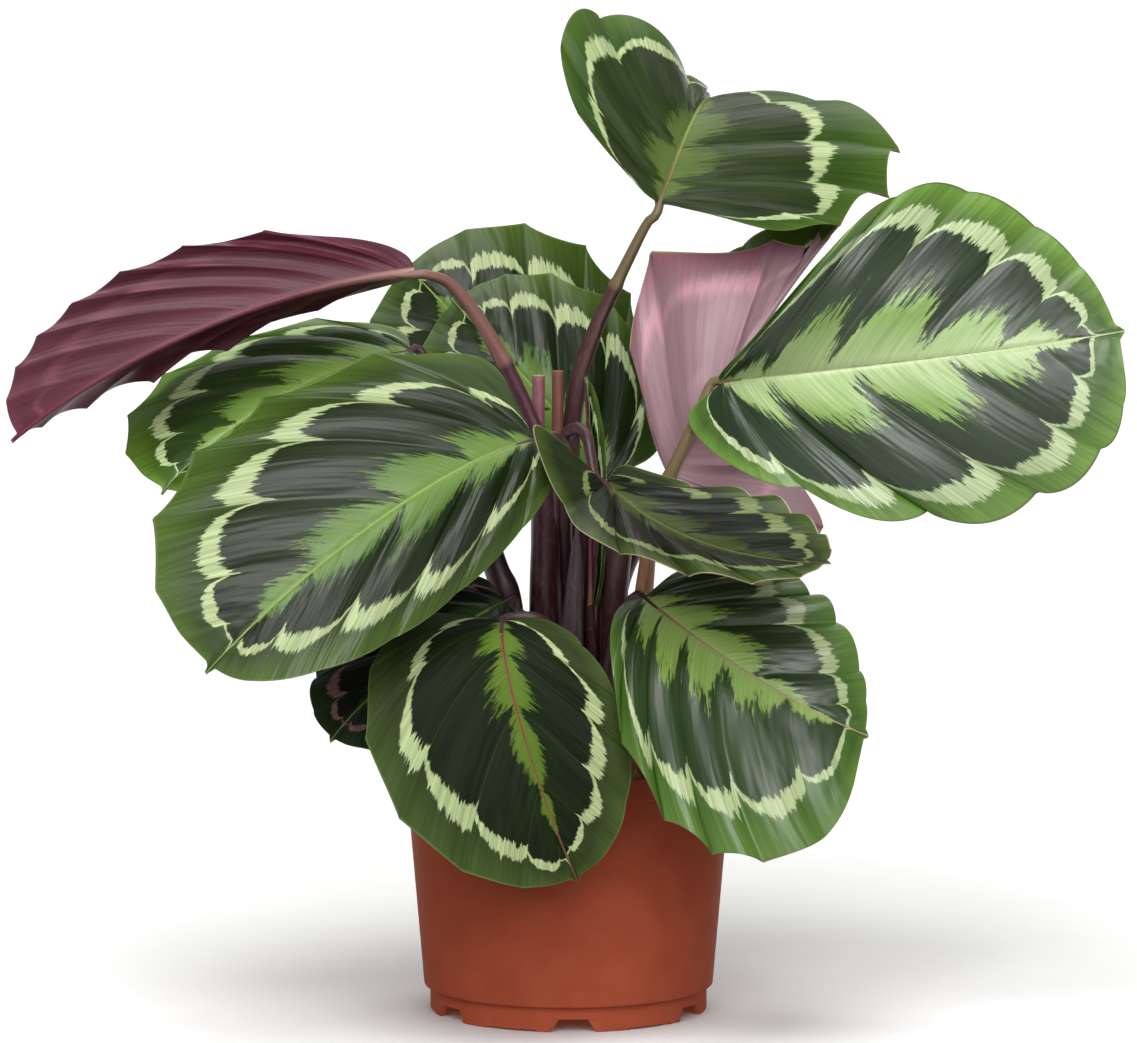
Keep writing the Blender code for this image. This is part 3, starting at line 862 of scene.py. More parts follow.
class Margin(BladePaint):
    """Bare leaf tissue at the paper-thin margin: the eye sees a hairline of pale yellow-green."""

    NAME = "leaf_margin"

    def make(self) -> bpy.types.Material:
        """Paint the margin.

        Returns:
            The material.
        """
        rim, depth = self.shape.tone.rim, self.FINE_DEPTH_MM * MM
        fine = self.strands(3.0, 0.5, 5.0)
        normal = self.add("Bump", named={"Strength": 1.0, "Distance": depth, "Height": fine})
        return self.finish(self.coats(darker(rim, 0.6), (fine, rim)), normal, 0.5, IOR=1.45)


FINISHES = {Face.UPPER: UpperSkin, Face.LOWER: LowerSkin, Face.RIM: Margin}

# The far left blade's underside rib is pale in its own right and is lightened further to paint the
# highlight along it.
PURPLE = BladeTone(
    under="#4A1226", under_streak="#70293C", under_band="#763646", under_far="#6E2C42", under_rib="#B48C7C",
    rim="#5E4A38")
MAUVE = BladeTone(
    under="#9B7680", under_streak="#B4959A", under_band="#D09CAA", under_rib="#B0906C", under_far="#A05E76",
    margin="#44661A", margin_far="#567C20", rim="#A9B06A")
BRIGHT = BladeTone(
    dark="#20321A", dark_streak="#2C4022", feather="#8DB058", feather_core="#C0D69A", band="#C4D6A6",
    band_edge="#9DB570", rib_base="#C4D08C", rib_tip="#CFDCA4", margin="#4A6828", margin_far="#729A3E",
    shine=0.62)
BRONZE = BladeTone(
    dark="#12170C", dark_streak="#1E2312", feather="#313C1A", feather_core="#465226", margin="#263018",
    margin_far="#465A26", band="#7E8C56", band_edge="#5C6A42", rib_base="#5A4E34", rib_tip="#6A7240",
    rim="#A89A78", shine=0.22)
RED_RIB = BladeTone(
    dark="#101B0A", dark_streak="#1A290F", feather="#4C661E", feather_core="#64802E", margin="#313F1D",
    margin_far="#46582B", rib_base="#6E3038", rib_tip="#8A5A48", wax=(0.40, 0.52), shine=0.08)
# Tone of the low right blade: its dark zone is lightened to paint the grey sheen on it, and its greens
# partly paint the light it catches, over its own pale feather.
SUNNY_PAINTED_SHEEN = BladeTone(
    dark="#263A1A", dark_streak="#344C24", feather="#82A44A", feather_core="#A4C46C", margin="#446523",
    margin_far="#5C7E30", rib_base="#743A3C", rib_tip="#C0A884", shine=0.5)
# The top blade starts from that tone but gives its own greens, without the painted sheen.
OLIVE = replace(
    SUNNY_PAINTED_SHEEN, dark="#222F14", dark_streak="#33451E", feather="#465A24", feather_core="#5E723A",
    margin="#36501C", margin_far="#4C6826", rib_tip="#8F9E58", shine=0.12)
# Tone of the low left blade, which sits in shade behind others: its darker greens are painted shade, while
# its pinkish band is its own colour.
DEEP_PAINTED_SHADE = BladeTone(
    dark="#131C10", dark_streak="#1C2816", feather="#2C451E", feather_core="#345020", margin="#1C3016",
    margin_far="#273E1A", band="#94706A", band_edge="#5A4A3C")
HAZY = BladeTone(
    dark="#2A3E1B", dark_streak="#3A5226", feather="#6C8E3C", feather_core="#88A854", margin="#446020",
    margin_far="#62842E", band="#C2D69C")

BLADES = (
    BladeShape(
        "leaf_far_left", ((-64, -15, 311), (-115, -28, 308), (-185, -45, 280), (-229, -45, 243)),
        (100, 36), (35, 52), (45, 45, 40), (50, 55, 45), (-35, -25, -20), (-30, -30, -20), lobe=(4, 6),
        widest=(0.6, 0.5), tip_round=(0.42, 0.54), cusp=(-4.0, 1.0), seed=1, tone=PURPLE,
        veins_left=(0.12, 0.25, 0.38, 0.50, 0.61, 0.72, 0.84)),
    BladeShape(
        "leaf_rear_left", ((-66, 11, 277), (-95, 1, 276), (-145, -24, 250), (-168, -39, 221)), (-120, 50),
        (56, 58), widest=(0.5, 0.6), tip_round=(0.44, 0.4), scallop=-2.4, cusp=(-4.0, -8.0), seed=2,
        tone=HAZY),
    BladeShape(
        "leaf_front_left", ((-14, -45, 244), (-45, -65, 240), (-105, -105, 200), (-145, -115, 156)),
        (-108, 28), (45, 82), (5, 0, 0), (10, 10, 10), (-60, -50, -30), (-15, -25, -20), lobe=(10, 12),
        widest=(0.5, 0.52), base_round=(0.44, 0.3), tip_round=(0.44, 0.39), scallop=-3.6,
        cusp=(0.8, -9.0), swell=4.2, seed=3, veins_left=(0.05, 0.20, 0.39, 0.60, 0.81, 0.92),
        veins_right=(0.055, 0.21, 0.395, 0.60, 0.80, 0.905), band_left=(0.45, 0.74, 0.62),
        band_right=(0.52, 0.71, 0.60), feather_left=(0.16, 0.40, 0.32), feather_right=(0.15, 0.26, 0.22)),
    BladeShape(
        "leaf_front_low", ((-27, -62, 171), (-29, -90, 160), (-14, -102, 110), (4, -98, 69)), (-85, 20),
        (41, 62), widest=(0.5, 0.43), tip_round=(0.44, 0.5), scallop=1.6, swell=0.7, cusp=(0.8, -2.5),
        hooked=0.4, seed=4, tone=RED_RIB, veins_right=(0.05, 0.16, 0.37, 0.60, 0.80, 0.91),
        band_left=(0.35, 0.72, 0.5), band_right=(0.5, 0.74, 0.68), feather_left=(0.16, 0.20, 0.14),
        feather_right=(0.16, 0.20, 0.14)),
    BladeShape(
        "leaf_low_right", ((31, -55, 180), (48, -78, 168), (90, -98, 140), (122, -85, 127)), (-75, 30),
        (48, 72), fold_right=(20, 0, 0), widest=(0.48, 0.68), base_round=(0.44, 0.4),
        tip_round=(0.44, 0.26), cusp=(0.8, -4.0), hooked=0.8, seed=5, tone=SUNNY_PAINTED_SHEEN,
        veins_left=(0.10, 0.28, 0.46, 0.72, 0.86), veins_right=(0.15, 0.33, 0.48, 0.62, 0.82),
        band_left=(0.75, 0.72, 0.6), band_right=(0.4, 0.75, 0.58), feather_left=(0.30, 0.30, 0.18),
        feather_right=(0.25, 0.34, 0.16)),
    BladeShape(
        "leaf_front_right", ((15, -56, 228), (32, -58, 209), (64, -105, 199), (104, -125, 202)),
        (-100, 85), (40, 34), (8, 28, 10), (-10, 5, -18), lobe=(6, 52), base_round=(0.44, 0.8),
        cusp=(1.5, 4.0), seed=6, tone=BRONZE),
    BladeShape(
        "leaf_far_right", ((63, -30, 267), (100, -48, 272), (180, -45, 280), (230, -30, 288)), (-90, 15),
        (74, 67), (60, 12, -5), (10, 0, 0), lobe=(6, 27), widest=(0.62, 0.6), base_round=(0.75, 0.44),
        tip_round=(0.49, 0.3), cusp=(0.5, 6.0), scallop=1.6, seed=7, tone=BRIGHT,
        veins_left=(0.14, 0.29, 0.47, 0.66, 0.81, 0.91), veins_right=(0.10, 0.29, 0.53, 0.73, 0.87),
        band_left=(0.15, 0.76, 0.62), band_right=(0.80, 0.80, 0.55), vein_start=1.8, vein_end=0.6,
        feather_left=(0.18, 0.40, 0.32), feather_right=(0.34, 0.40, 0.30)),
    BladeShape(
        "leaf_rear_right", ((42, -5, 226), (60, 0, 258), (92, 16, 306), (116, 36, 330)), (96, 32),
        (70, 55), (-35, 60, 140), (10, 32, 60), (-20, -10, -10), (-10, -10, -10), lobe=(18, 0),
        widest=(0.35, 0.48), base_round=(0.12, 1.05), tip_round=(0.9, 2.2), cusp=(-1.5, -8.0), seed=8,
        tone=MAUVE, veins_right=(0.08, 0.30, 0.60, 0.85)),
    BladeShape(
        "leaf_top", ((38, 10, 339), (50, 35, 371), (62, 76, 394), (64, 133, 375)), (-80, 60), (67, 90),
        (16, 36, 50), (5, 12, 22), (-10, -10, -10), (-30, -30, -15), lobe=(-10, 4), widest=(0.42, 0.46),
        base_round=(0.65, 0.3), tip_round=(3.6, 1.6), cusp=(1.5, -10.0), hooked=0.5, seed=9,
        vein_start=1.6, vein_end=0.7, band_left=(0.50, 0.74, 0.60), band_right=(0.85, 0.62, 0.42),
        feather_left=(0.2, 0.2, 0.15), feather_right=(0.2, 0.2, 0.15), tone=OLIVE),
    BladeShape(
        "leaf_back_tall", ((8, 38, 221), (-15, 50, 255), (-50, 62, 290), (-71, 62, 312)), (-80, 25),
        (70, 67), widest=(0.48, 0.54), scallop=-2.0, cusp=(-5.0, -6.0), seed=10),
    BladeShape(
        "leaf_back_short", ((16, 22, 222), (2, 30, 245), (-30, 38, 275), (-50, 38, 298)), (-80, 20),
        (56, 52), scallop=-2.0, cusp=(-4.0, -5.0), seed=11, veins_right=(0.12, 0.35, 0.58, 0.77, 0.88)),
    BladeShape(
        "leaf_low_left", ((-26, -24, 175), (-45, -37, 168), (-80, -55, 145), (-98, -60, 121)), (-110, 45),
        (46, 40), seed=12, tone=DEEP_PAINTED_SHADE),
    BladeShape(
        "leaf_young", ((10, -17, 172), (10, -13, 210), (9, -10, 240), (7.5, -11, 268)), (-60, 5), (8, 8),
        (60, 60, 60), (50, 50, 50), (30, 30, 30), (30, 30, 30), lobe=(0, 0), swell=0.2, scallop=0.6,
        seed=13),
)


# ------------------------------------------------------------------ stalks


@dataclass(frozen=True)
class StalkShape:
    """One stalk in millimetres: the points it passes, its radii and where its upper joint sits."""

    name: str
    path: tuple
    radii: tuple
    blade: str = ""
    joint: float = 0.8
    slot: str = "leaf_stalk"


STALKS = (
    StalkShape(
        "stalk_far_left",
        ((-9, -5, 88), (-10, -7, 168), (-10, -6, 205), (-11, -4, 232), (-18, -2, 254), (-33, -5, 284),
         (-48, -10, 305)),
        (5, 6.3, 5.2, 3.8, 3.4, 3.2, 2.6), "leaf_far_left", 0.74),
    StalkShape(
        "stalk_rear_left", ((-20, -3, 88), (-25, -9, 168), (-31, -8, 190), (-46, 2, 240)),
        (5, 6.2, 5.0, 2.8), "leaf_rear_left", 0.8),
    StalkShape(
        "stalk_front_left", ((4, -4, 88), (6, -6, 170), (5, -18, 215), (-3, -36, 243)),
        (3.9, 3.7, 2.7, 2.3), "leaf_front_left", 0.8),
    StalkShape(
        "stalk_front_low",
        ((-9, -20, 88), (-5, -31, 140), (-5, -46, 162), (-12, -54, 171), (-21, -56, 172)),
        (3.8, 3.4, 2.6, 2.4, 2.3), "leaf_front_low", 0.7),
    StalkShape(
        "stalk_low_right", ((12, -19, 88), (17, -28, 145), (23, -42, 172)), (4, 3.6, 2.5),
        "leaf_low_right", 0.7),
    StalkShape(
        "stalk_front_right",
        ((-2, 2, 88), (-1, -1, 170), (-1.5, -13, 220), (-1, -23, 244), (7, -41, 246)),
        (2.8, 2.8, 2.7, 2.5, 2.5), "leaf_front_right", 0.8),
    StalkShape(
        "stalk_far_right", ((19, -8, 88), (20, -14, 185), (31, -19, 212), (42, -23, 228), (54, -27, 254)),
        (5, 5.5, 3.4, 2.6, 2.4), "leaf_far_right", 0.6),
    StalkShape(
        "stalk_rear_right", ((14, 4, 88), (20, 4, 170), (34, 0, 205)), (3.6, 3.8, 2.8), "leaf_rear_right",
        0.8),
    StalkShape(
        "stalk_top",
        ((5, 8, 88), (5, 6, 170), (1, 7, 225), (3, 5, 259), (10, 6, 283), (18, 8, 301), (32, 9, 329)),
        (4.2, 4.4, 3.8, 3.6, 3.4, 2.8, 2.1), "leaf_top", 0.82),
    StalkShape(
        "stalk_back_tall", ((-2, 19, 88), (3, 30, 180), (8, 38, 212)), (3.4, 3.2, 2.4), "leaf_back_tall"),
    StalkShape(
        "stalk_back_short", ((12, 14, 88), (14, 16, 170), (18, 22, 212)), (3.3, 3.2, 2.4),
        "leaf_back_short"),
    StalkShape(
        "stalk_low_left", ((-18, -13, 88), (-21, -19, 150), (-22, -21, 166)), (3.5, 3.0, 2.4),
        "leaf_low_left"),
    StalkShape("stalk_young", ((9, -11, 88), (10, -15, 140)), (2.5, 2.3), "leaf_young"),
    StalkShape(
        "sheath_spear", ((1, -17, 88), (1, -20, 150), (3, -20, 190), (3.6, -20, 205)),
        (5, 5.4, 3.0, 0.7)),
    StalkShape(
        "stub_left", ((-12, 8, 88), (-13, 7, 200), (-12.5, 5, 267)), (2.8, 2.8, 2.7), slot="cut_stalk"),
    StalkShape(
        "stub_right", ((-6, 8, 88), (-5, 5, 200), (-4.4, 4, 269)), (2.6, 2.6, 2.5), slot="cut_stalk"),
    StalkShape(
        "stub_low", ((28, -17, 88), (30, -20, 160), (33, -22, 194)), (4.2, 4.5, 3.4), slot="cut_stalk"),
)


@dataclass(frozen=True)
class StalkTone:
    """Colours of a stalk from the soil to the blade."""

    name: str = "petiole"
    foot: str = "#38181F"
    middle: str = "#3A1A22"
    knee: str = "#472530"
    neck: str = "#452829"
    # Paler streaks along the ribs: painted highlights on the stalks, and the sheath's own stripes.
    streak: str = "#5E3A40"
    cut: str = "#B9A866"


PETIOLE = StalkTone()
PINK_NECK = StalkTone("pink_neck_petiole", knee="#56303A", neck="#8A6156", streak="#785058")
OLIVE_NECK = StalkTone("olive_neck_petiole", knee="#4A2C2A", neck="#6F6244", streak="#6A4E44")
TAN_NECK = StalkTone("tan_neck_petiole", knee="#5A4038", neck="#7E6C4A", streak="#6E5848")
SPEAR = StalkTone("sheath", "#5A4A4C", "#4A3A40", "#5A484C", "#6A5A58", "#857478")
PINK_STUB = StalkTone("pink_stub", "#5E2A38", "#7A4450", "#98606A", "#A87078", "#B98A8A", "#C9C27A")
BROWN_STUB = StalkTone("brown_stub", "#4E2A28", "#6A4038", "#7D5044", "#8A5C4C", "#8E6A58", "#A9745A")
TAN_STUB = StalkTone("tan_stub", "#8A5A3A", "#A87148", "#BE8A5E", "#D0A884", "#DCC0A0", "#D8C29A")
STALK_TONES = {
    "sheath_spear": SPEAR, "stub_left": PINK_STUB, "stub_right": BROWN_STUB, "stub_low": TAN_STUB,
    "stalk_far_left": PINK_NECK, "stalk_top": OLIVE_NECK, "stalk_far_right": TAN_NECK,
}


@dataclass(frozen=True)
class StalkFinish:
    """Petiole skin: smooth, faintly ribbed, satin plant tissue that darkens from neck to foot."""

    tone: StalkTone
    rib_mm: float = 0.6
    rib_depth_mm: float = 0.12
    pith_mm: float = 0.5
    pith_depth_mm: float = 0.2

    def skin(self) -> bpy.types.Material:
        """Paint the skin. Ribs of fibre under a waxy skin give long soft streaks of light, which a paler
        streak colour along the ribs also paints.

        Returns:
            The material.
        """
        tone = self.tone
        tree = Tree("stalk_skin_" + tone.name)
        run, span = (tree.add("UVMap", uv_map=key) for key in ("run", "span"))
        along = tree.add("SeparateXYZ", run)
        angle = tree.add("Math", tree.add("SeparateXYZ", run, out=1), 2 * math.pi, operation="MULTIPLY")
        east = tree.add("Math", angle, operation="COSINE")
        north = tree.add("Math", angle, operation="SINE")
        up = tree.add("Math", tree.add("SeparateXYZ", span), 0.6, operation="MULTIPLY")
        ribs = tree.add("TexNoise", named={"Vector": tree.add("CombineXYZ", east, north, up),
                                           "Scale": 2.4 / self.rib_mm, "Detail": 3.0, "Roughness": 0.6})
        colour = tree.coats(
            tone.foot,
            (tree.add("MapRange", along, 0.0, 0.35, 0.0, 1.0), tone.middle),
            (tree.add("MapRange", along, 0.35, 0.78, 0.0, 1.0), tone.knee),
            (tree.add("MapRange", along, 0.78, 0.80, 0.0, 1.0), tone.neck),
            # Painted highlight: a paler streak colour along the ribs; on the sheath it is also its own
            # stripes.
            (tree.add("MapRange", ribs, 0.50, 0.75, 0.0, 0.55), tone.streak),
        )
        depth = self.rib_depth_mm * MM
        normal = tree.add("Bump", named={"Strength": 1.0, "Distance": depth, "Height": ribs})
        return tree.finish(colour, normal, tree.add("MapRange", ribs, 0.3, 0.7, 0.34, 0.46), IOR=1.45)

    def cut_face(self) -> bpy.types.Material:
        """Paint a cut end. Dried pith: pale, dull and pitted.

        Returns:
            The material.
        """
        tree = Tree("cut_pith_" + self.tone.name)
        spot = tree.add("TexCoord", out=3)
        scale, depth = 1 / (self.pith_mm * MM), self.pith_depth_mm * MM
        cells = tree.add("TexNoise", named={"Vector": spot, "Scale": scale, "Detail": 3.0})
        colour = tree.coats(darker(self.tone.cut, 0.45), (cells, self.tone.cut))
        normal = tree.add("Bump", named={"Strength": 1.0, "Distance": depth, "Height": cells})
        return tree.finish(colour, normal, 0.7)


@dataclass
class Stalk:
    """A stalk in millimetres: a round tube swept along its path, with a collar at its joint."""

    shape: StalkShape
    sides: int = 24
    rings: int = 90
    span_steps: int = 24
    neck: float = 5.0
    neck_radius: float = 2.1
    collar: float = 0.22
    collar_length: float = 0.008

    def route(self) -> tuple[Points, Points]:
        """Work out the centre line and radii, run on under the blade's midrib.

        Returns:
            Even points and the radius at each.
        """
        path, radii = [np.array(p, float) for p in self.shape.path], list(self.shape.radii)
        if self.shape.blade:
            rib = Rib(next(b for b in BLADES if b.name == self.shape.blade))
            base, ahead, up = rib.points[0], rib.forward[0], rib.up[0]
            path += [base - ahead * self.neck - up * 2.0, base + ahead * 1.5 - up * 1.5,
                     base + ahead * 9.0 - up * 0.9]
            neck = min(self.neck_radius, radii[-1])
            radii += [neck, neck * 0.9, neck * 0.3]
        path = [2 * path[0] - path[1], *path, 2 * path[-1] - path[-2]]
        t = np.linspace(0, 1, self.span_steps, endpoint=False)[:, None]
        spans = [0.5 * (2 * b + (c - a) * t + (2 * a - 5 * b + 4 * c - d) * t ** 2
                        + (3 * b - a - 3 * c + d) * t ** 3)
                 for a, b, c, d in zip(path, path[1:], path[2:], path[3:])]
        curve = np.vstack([*spans, path[-2]])
        widths = np.interp(np.linspace(0, len(radii) - 1, len(curve)), np.arange(len(radii)), radii)
        run = run_along(curve)
        places = np.linspace(0, run[-1], self.rings)
        return read_at(places, run, curve), np.interp(places, run, widths)

    def tube(self) -> Build:
        """Sweep the tube.

        Returns:
            The mesh data, with maps of the share of the run, the angle and real lengths.
        """
        centres, radii = self.route()
        share = np.linspace(0, 1, self.rings)
        joint = self.shape.joint if self.shape.blade else 1.0
        beyond = (share - joint) / (1.001 - joint)
        painted = np.where(share < joint, 0.79 * share / joint, 0.8 + 0.2 * beyond)
        if self.shape.blade:
            radii = radii * (1 + self.collar * np.exp(-((share - joint) / self.collar_length) ** 2))
        build = Build()
        turn = np.arange(self.sides + 1) / self.sides
        angle = 2 * math.pi * turn
        side = np.array([1.0, 0.0, 0.0])
        rings = []
        forwards = unit(np.gradient(centres, axis=0))
        for i, (centre, forward, radius) in enumerate(zip(centres, forwards, radii)):
            side = unit(side - side.dot(forward) * forward)
            around = np.outer(np.cos(angle), side) + np.outer(np.sin(angle), np.cross(forward, side))
            uneven = 1 + 0.03 * np.sin(2 * angle + 0.05 * i) + 0.02 * np.sin(5 * angle + 0.11 * i)
            rings.append(build.ring(centre + radius * uneven[:, None] * around))
        build.bridge(rings, closed=False)
        build.slots = [0] * len(build.faces) + [1, 1]
        build.faces += [rings[0][-2::-1], rings[-1][:-1]]
        for key, values, around in (("run", painted, turn), ("span", run_along(centres) / 10, 0 * turn)):
            build.maps[key] = np.stack(np.meshgrid(values, around, indexing="ij"), -1).reshape(-1, 2)
        return build

    def make(self, skins: dict[str, list[bpy.types.Material]]) -> None:
        """Build, paint and place the stalk.

        Args:
            skins: Finished skins by tone name, filled as needed.
        """
        tone = STALK_TONES.get(self.shape.name, PETIOLE)
        if tone.name not in skins:
            finish = StalkFinish(tone)
            skins[tone.name] = [finish.skin(), finish.cut_face()]
        piece = self.tube().object(self.shape.name + "_skin", skins[tone.name], angle=60)
        place(piece, self.shape.name)


# ------------------------------------------------------------------ pot


@dataclass(frozen=True)
class PotFinish:
    """Polypropylene, injection-moulded and pigmented terracotta: even colour, dull satin, faint haze."""

    body: str = "#C05E42"
    shade: str = "#B5553A"
    haze_mm: float = 14.0
    grain_mm: float = 0.35
    grain_depth_mm: float = 0.03

    def make(self) -> bpy.types.Material:
        """Build the material.

        Returns:
            The material.
        """
        tree = Tree("moulded_polypropylene")
        spot = tree.add("TexCoord", out=3)
        haze, grain = (
            tree.add("TexNoise", named={"Vector": spot, "Scale": 1 / (size * MM), "Detail": detail})
            for size, detail in ((self.haze_mm, 3.0), (self.grain_mm, 2.0)))
        colour = tree.coats(self.shade, (tree.add("MapRange", haze, 0.3, 0.7, 0.0, 1.0), self.body))
        gloss = tree.add("MapRange", haze, 0.3, 0.7, 0.5, 0.6)
        depth = self.grain_depth_mm * MM
        normal = tree.add("Bump", named={"Strength": 1.0, "Distance": depth, "Height": grain})
        return tree.finish(colour, normal, gloss, IOR=1.49, Specular_IOR_Level=0.03)


@dataclass
class NurseryPot:
    """The pot in millimetres: a turned wall with a stepped rim on a foot ring that six notches open.

    A slot in the foot ring has four values: half its width at the top and at the foot, the height of
    its top, and how far inside the ring it starts.
    """

    rim_radius: float = 70.0
    height: float = 105.6
    rim_height: float = 9.2
    foot_inset: float = 11.6
    foot_top: float = 11.4
    floor: tuple = (7.4, 9.0)
    wall_inset: tuple = (9.0, 1.7)
    wall_rows: int = 6
    sides: int = 180
    turn: float = 2.0
    notches: int = 6
    notch: tuple = (5.85, 10.7, 5.5, 8)
    recess: tuple = (12.6, 16.5, 5.5, 1)
    step: tuple = (11.0, 11.0, 0.9, 8)
    step_turn: float = 34
    slot_end: float = 4
    drain_radius: float = 4.0
    drain_circle: float = 40.0
    drain_sides: int = 32
    drain_reach: tuple = (4.0, 12.0)
    sharp: float = 35.0

    def arc(self, across: float, up: float, radius: float, start: float, end: float,
            steps: int = 4) -> list:
        """Round a corner about a centre, from one angle to another in degrees, in some spans."""
        angles = np.radians(np.linspace(start, end, steps + 1))
        return [(across + radius * math.cos(a), up + radius * math.sin(a)) for a in angles]

    def profile(self) -> list:
        """Give the closed profile, outer side upwards, then inner side down.

        Returns:
            Radius and height pairs.
        """
        rim, top, foot = self.rim_radius, self.height, self.rim_radius - self.foot_inset
        under = top - self.rim_height
        below, above = self.floor
        heights = np.linspace(20, under - 0.6, self.wall_rows)
        insets = np.interp(heights, (self.foot_top, under), self.wall_inset)
        return [
            (foot - 2.3, 0.0),
            *self.arc(foot - 0.6, 0.6, 0.6, -90, 0),
            (foot, above),
            *self.arc(foot + 0.5, above + 0.9, 0.5, 180, 90),
            *self.arc(rim - 10.0, self.foot_top, 1.0, -90, 0),
            *zip(rim - insets, heights),
            *self.arc(rim - 1.2, under - 0.1, 0.5, 180, 90),
            *self.arc(rim - 0.7, under + 1.1, 0.7, -90, 0),
            (rim, top - 1.0),
            *self.arc(rim - 0.65, top - 0.65, 0.65, 0, 180, 8),
            (rim - 1.5, under + 0.6), (rim - 3.1, under - 1.2), (rim - 11.3, above),
            (0.0, above), (0.0, below), (foot - 2.7, below),
        ]

    def turned(self) -> Build:
        """Turn the profile about the pot's axis.

        Returns:
            The mesh data.
        """
        build = Build()
        rings = []
        for radius, height in self.profile():
            if radius:
                rings.append(build.ring(circle(radius, height, self.sides)))
            else:
                rings.append(build.ring([(0.0, 0.0, height)]) * self.sides)
        build.bridge(rings + rings[:1])
        return build

    def foot_slot(self, values: tuple, angle: float) -> Build:
        """Make a cutter for a slot in the foot ring: a tapered section that runs outwards.

        Args:
            values: The slot's four values.
            angle: Azimuth in degrees.

        Returns:
            The cutter's mesh data.
        """
        top, foot, height, inside = values
        ring = self.rim_radius - self.foot_inset
        out, across = heading(angle, 0), heading(angle + 90, 0)
        section = ((-foot, -2.0), (foot, -2.0), (top, height), (-top, height))
        build = Build()
        build.prism(*([reach * out + shift * across + (0, 0, up) for shift, up in section]
                      for reach in (ring - inside, ring + self.slot_end)))
        return build

    def cutters(self) -> dict[str, Build]:
        """Make the notches, the shallow recesses beside them and the drain holes.

        Returns:
            The cutters' mesh data by name.
        """
        made = {}
        centres = [(0.0, 0.0)]
        for k in range(self.notches):
            angle = -90 + self.turn + 60 * k
            made[f"notch_{k}"] = self.foot_slot(self.notch, angle)
            made[f"recess_{k}"] = self.foot_slot(self.recess, angle)
            made[f"step_{k}"] = self.foot_slot(self.step, angle + self.step_turn)
            centres.append(tuple(self.drain_circle * heading(angle + 30, 0)[:2]))
        for k, centre in enumerate(centres):
            drain = made[f"drain_{k}"] = Build()
            drain.prism(*(circle(self.drain_radius, height, self.drain_sides, centre)
                          for height in self.drain_reach))
        return made

    def make(self) -> None:
        """Build, cut, paint and place the pot."""
        pot = self.turned().object("nursery_pot", [PotFinish().make()], angle=self.sharp)
        cutters = [build.object(name) for name, build in self.cutters().items()]
        for cutter in cutters:
            modifier = pot.modifiers.new("cut_" + cutter.name, "BOOLEAN")
            modifier.operation = "DIFFERENCE"
            modifier.solver = "EXACT"
            modifier.object = cutter
        graph = bpy.context.evaluated_depsgraph_get()
        mesh = bpy.data.meshes.new_from_object(pot.evaluated_get(graph))
        pot.modifiers.clear()
        pot.data = mesh
        for cutter in cutters:
            bpy.data.objects.remove(cutter, do_unlink=True)
        mesh.shade_smooth()
        mesh.set_sharp_from_angle(angle=math.radians(self.sharp))
        place(pot, "pot")


# ------------------------------------------------------------------ soil


@dataclass(frozen=True)
class SoilFinish:
    """Potting mix: crumbs under fine dust, matt. Moist peat is near black with brown fibres."""

    name: str = "peat_potting_mix"
    dark: str = "#1C130D"
    brown: str = "#3E2B1C"
    crumb_mm: float = 2.4
    dust_mm: float = 0.9
    depth_mm: float = 0.6

    def make(self) -> bpy.types.Material:
        """Build the material.

        Returns:
            The material.
        """
        tree = Tree(self.name)
        spot = tree.add("TexCoord", out=3)
        crumbs = tree.add("TexVoronoi", named={"Vector": spot, "Scale": 1 / (self.crumb_mm * MM)})
        dust = tree.add("TexNoise", named={"Vector": spot, "Scale": 1 / (self.dust_mm * MM), "Detail": 4.0})
        colour = tree.coats(self.dark, (tree.add("MapRange", dust, 0.35, 0.75, 0.0, 1.0), self.brown))
        both = tree.add("Math", crumbs, dust, operation="ADD")
        normal = tree.add("Bump", named={"Strength": 1.0, "Distance": self.depth_mm * MM, "Height": both})
        return tree.finish(colour, normal, 0.9)


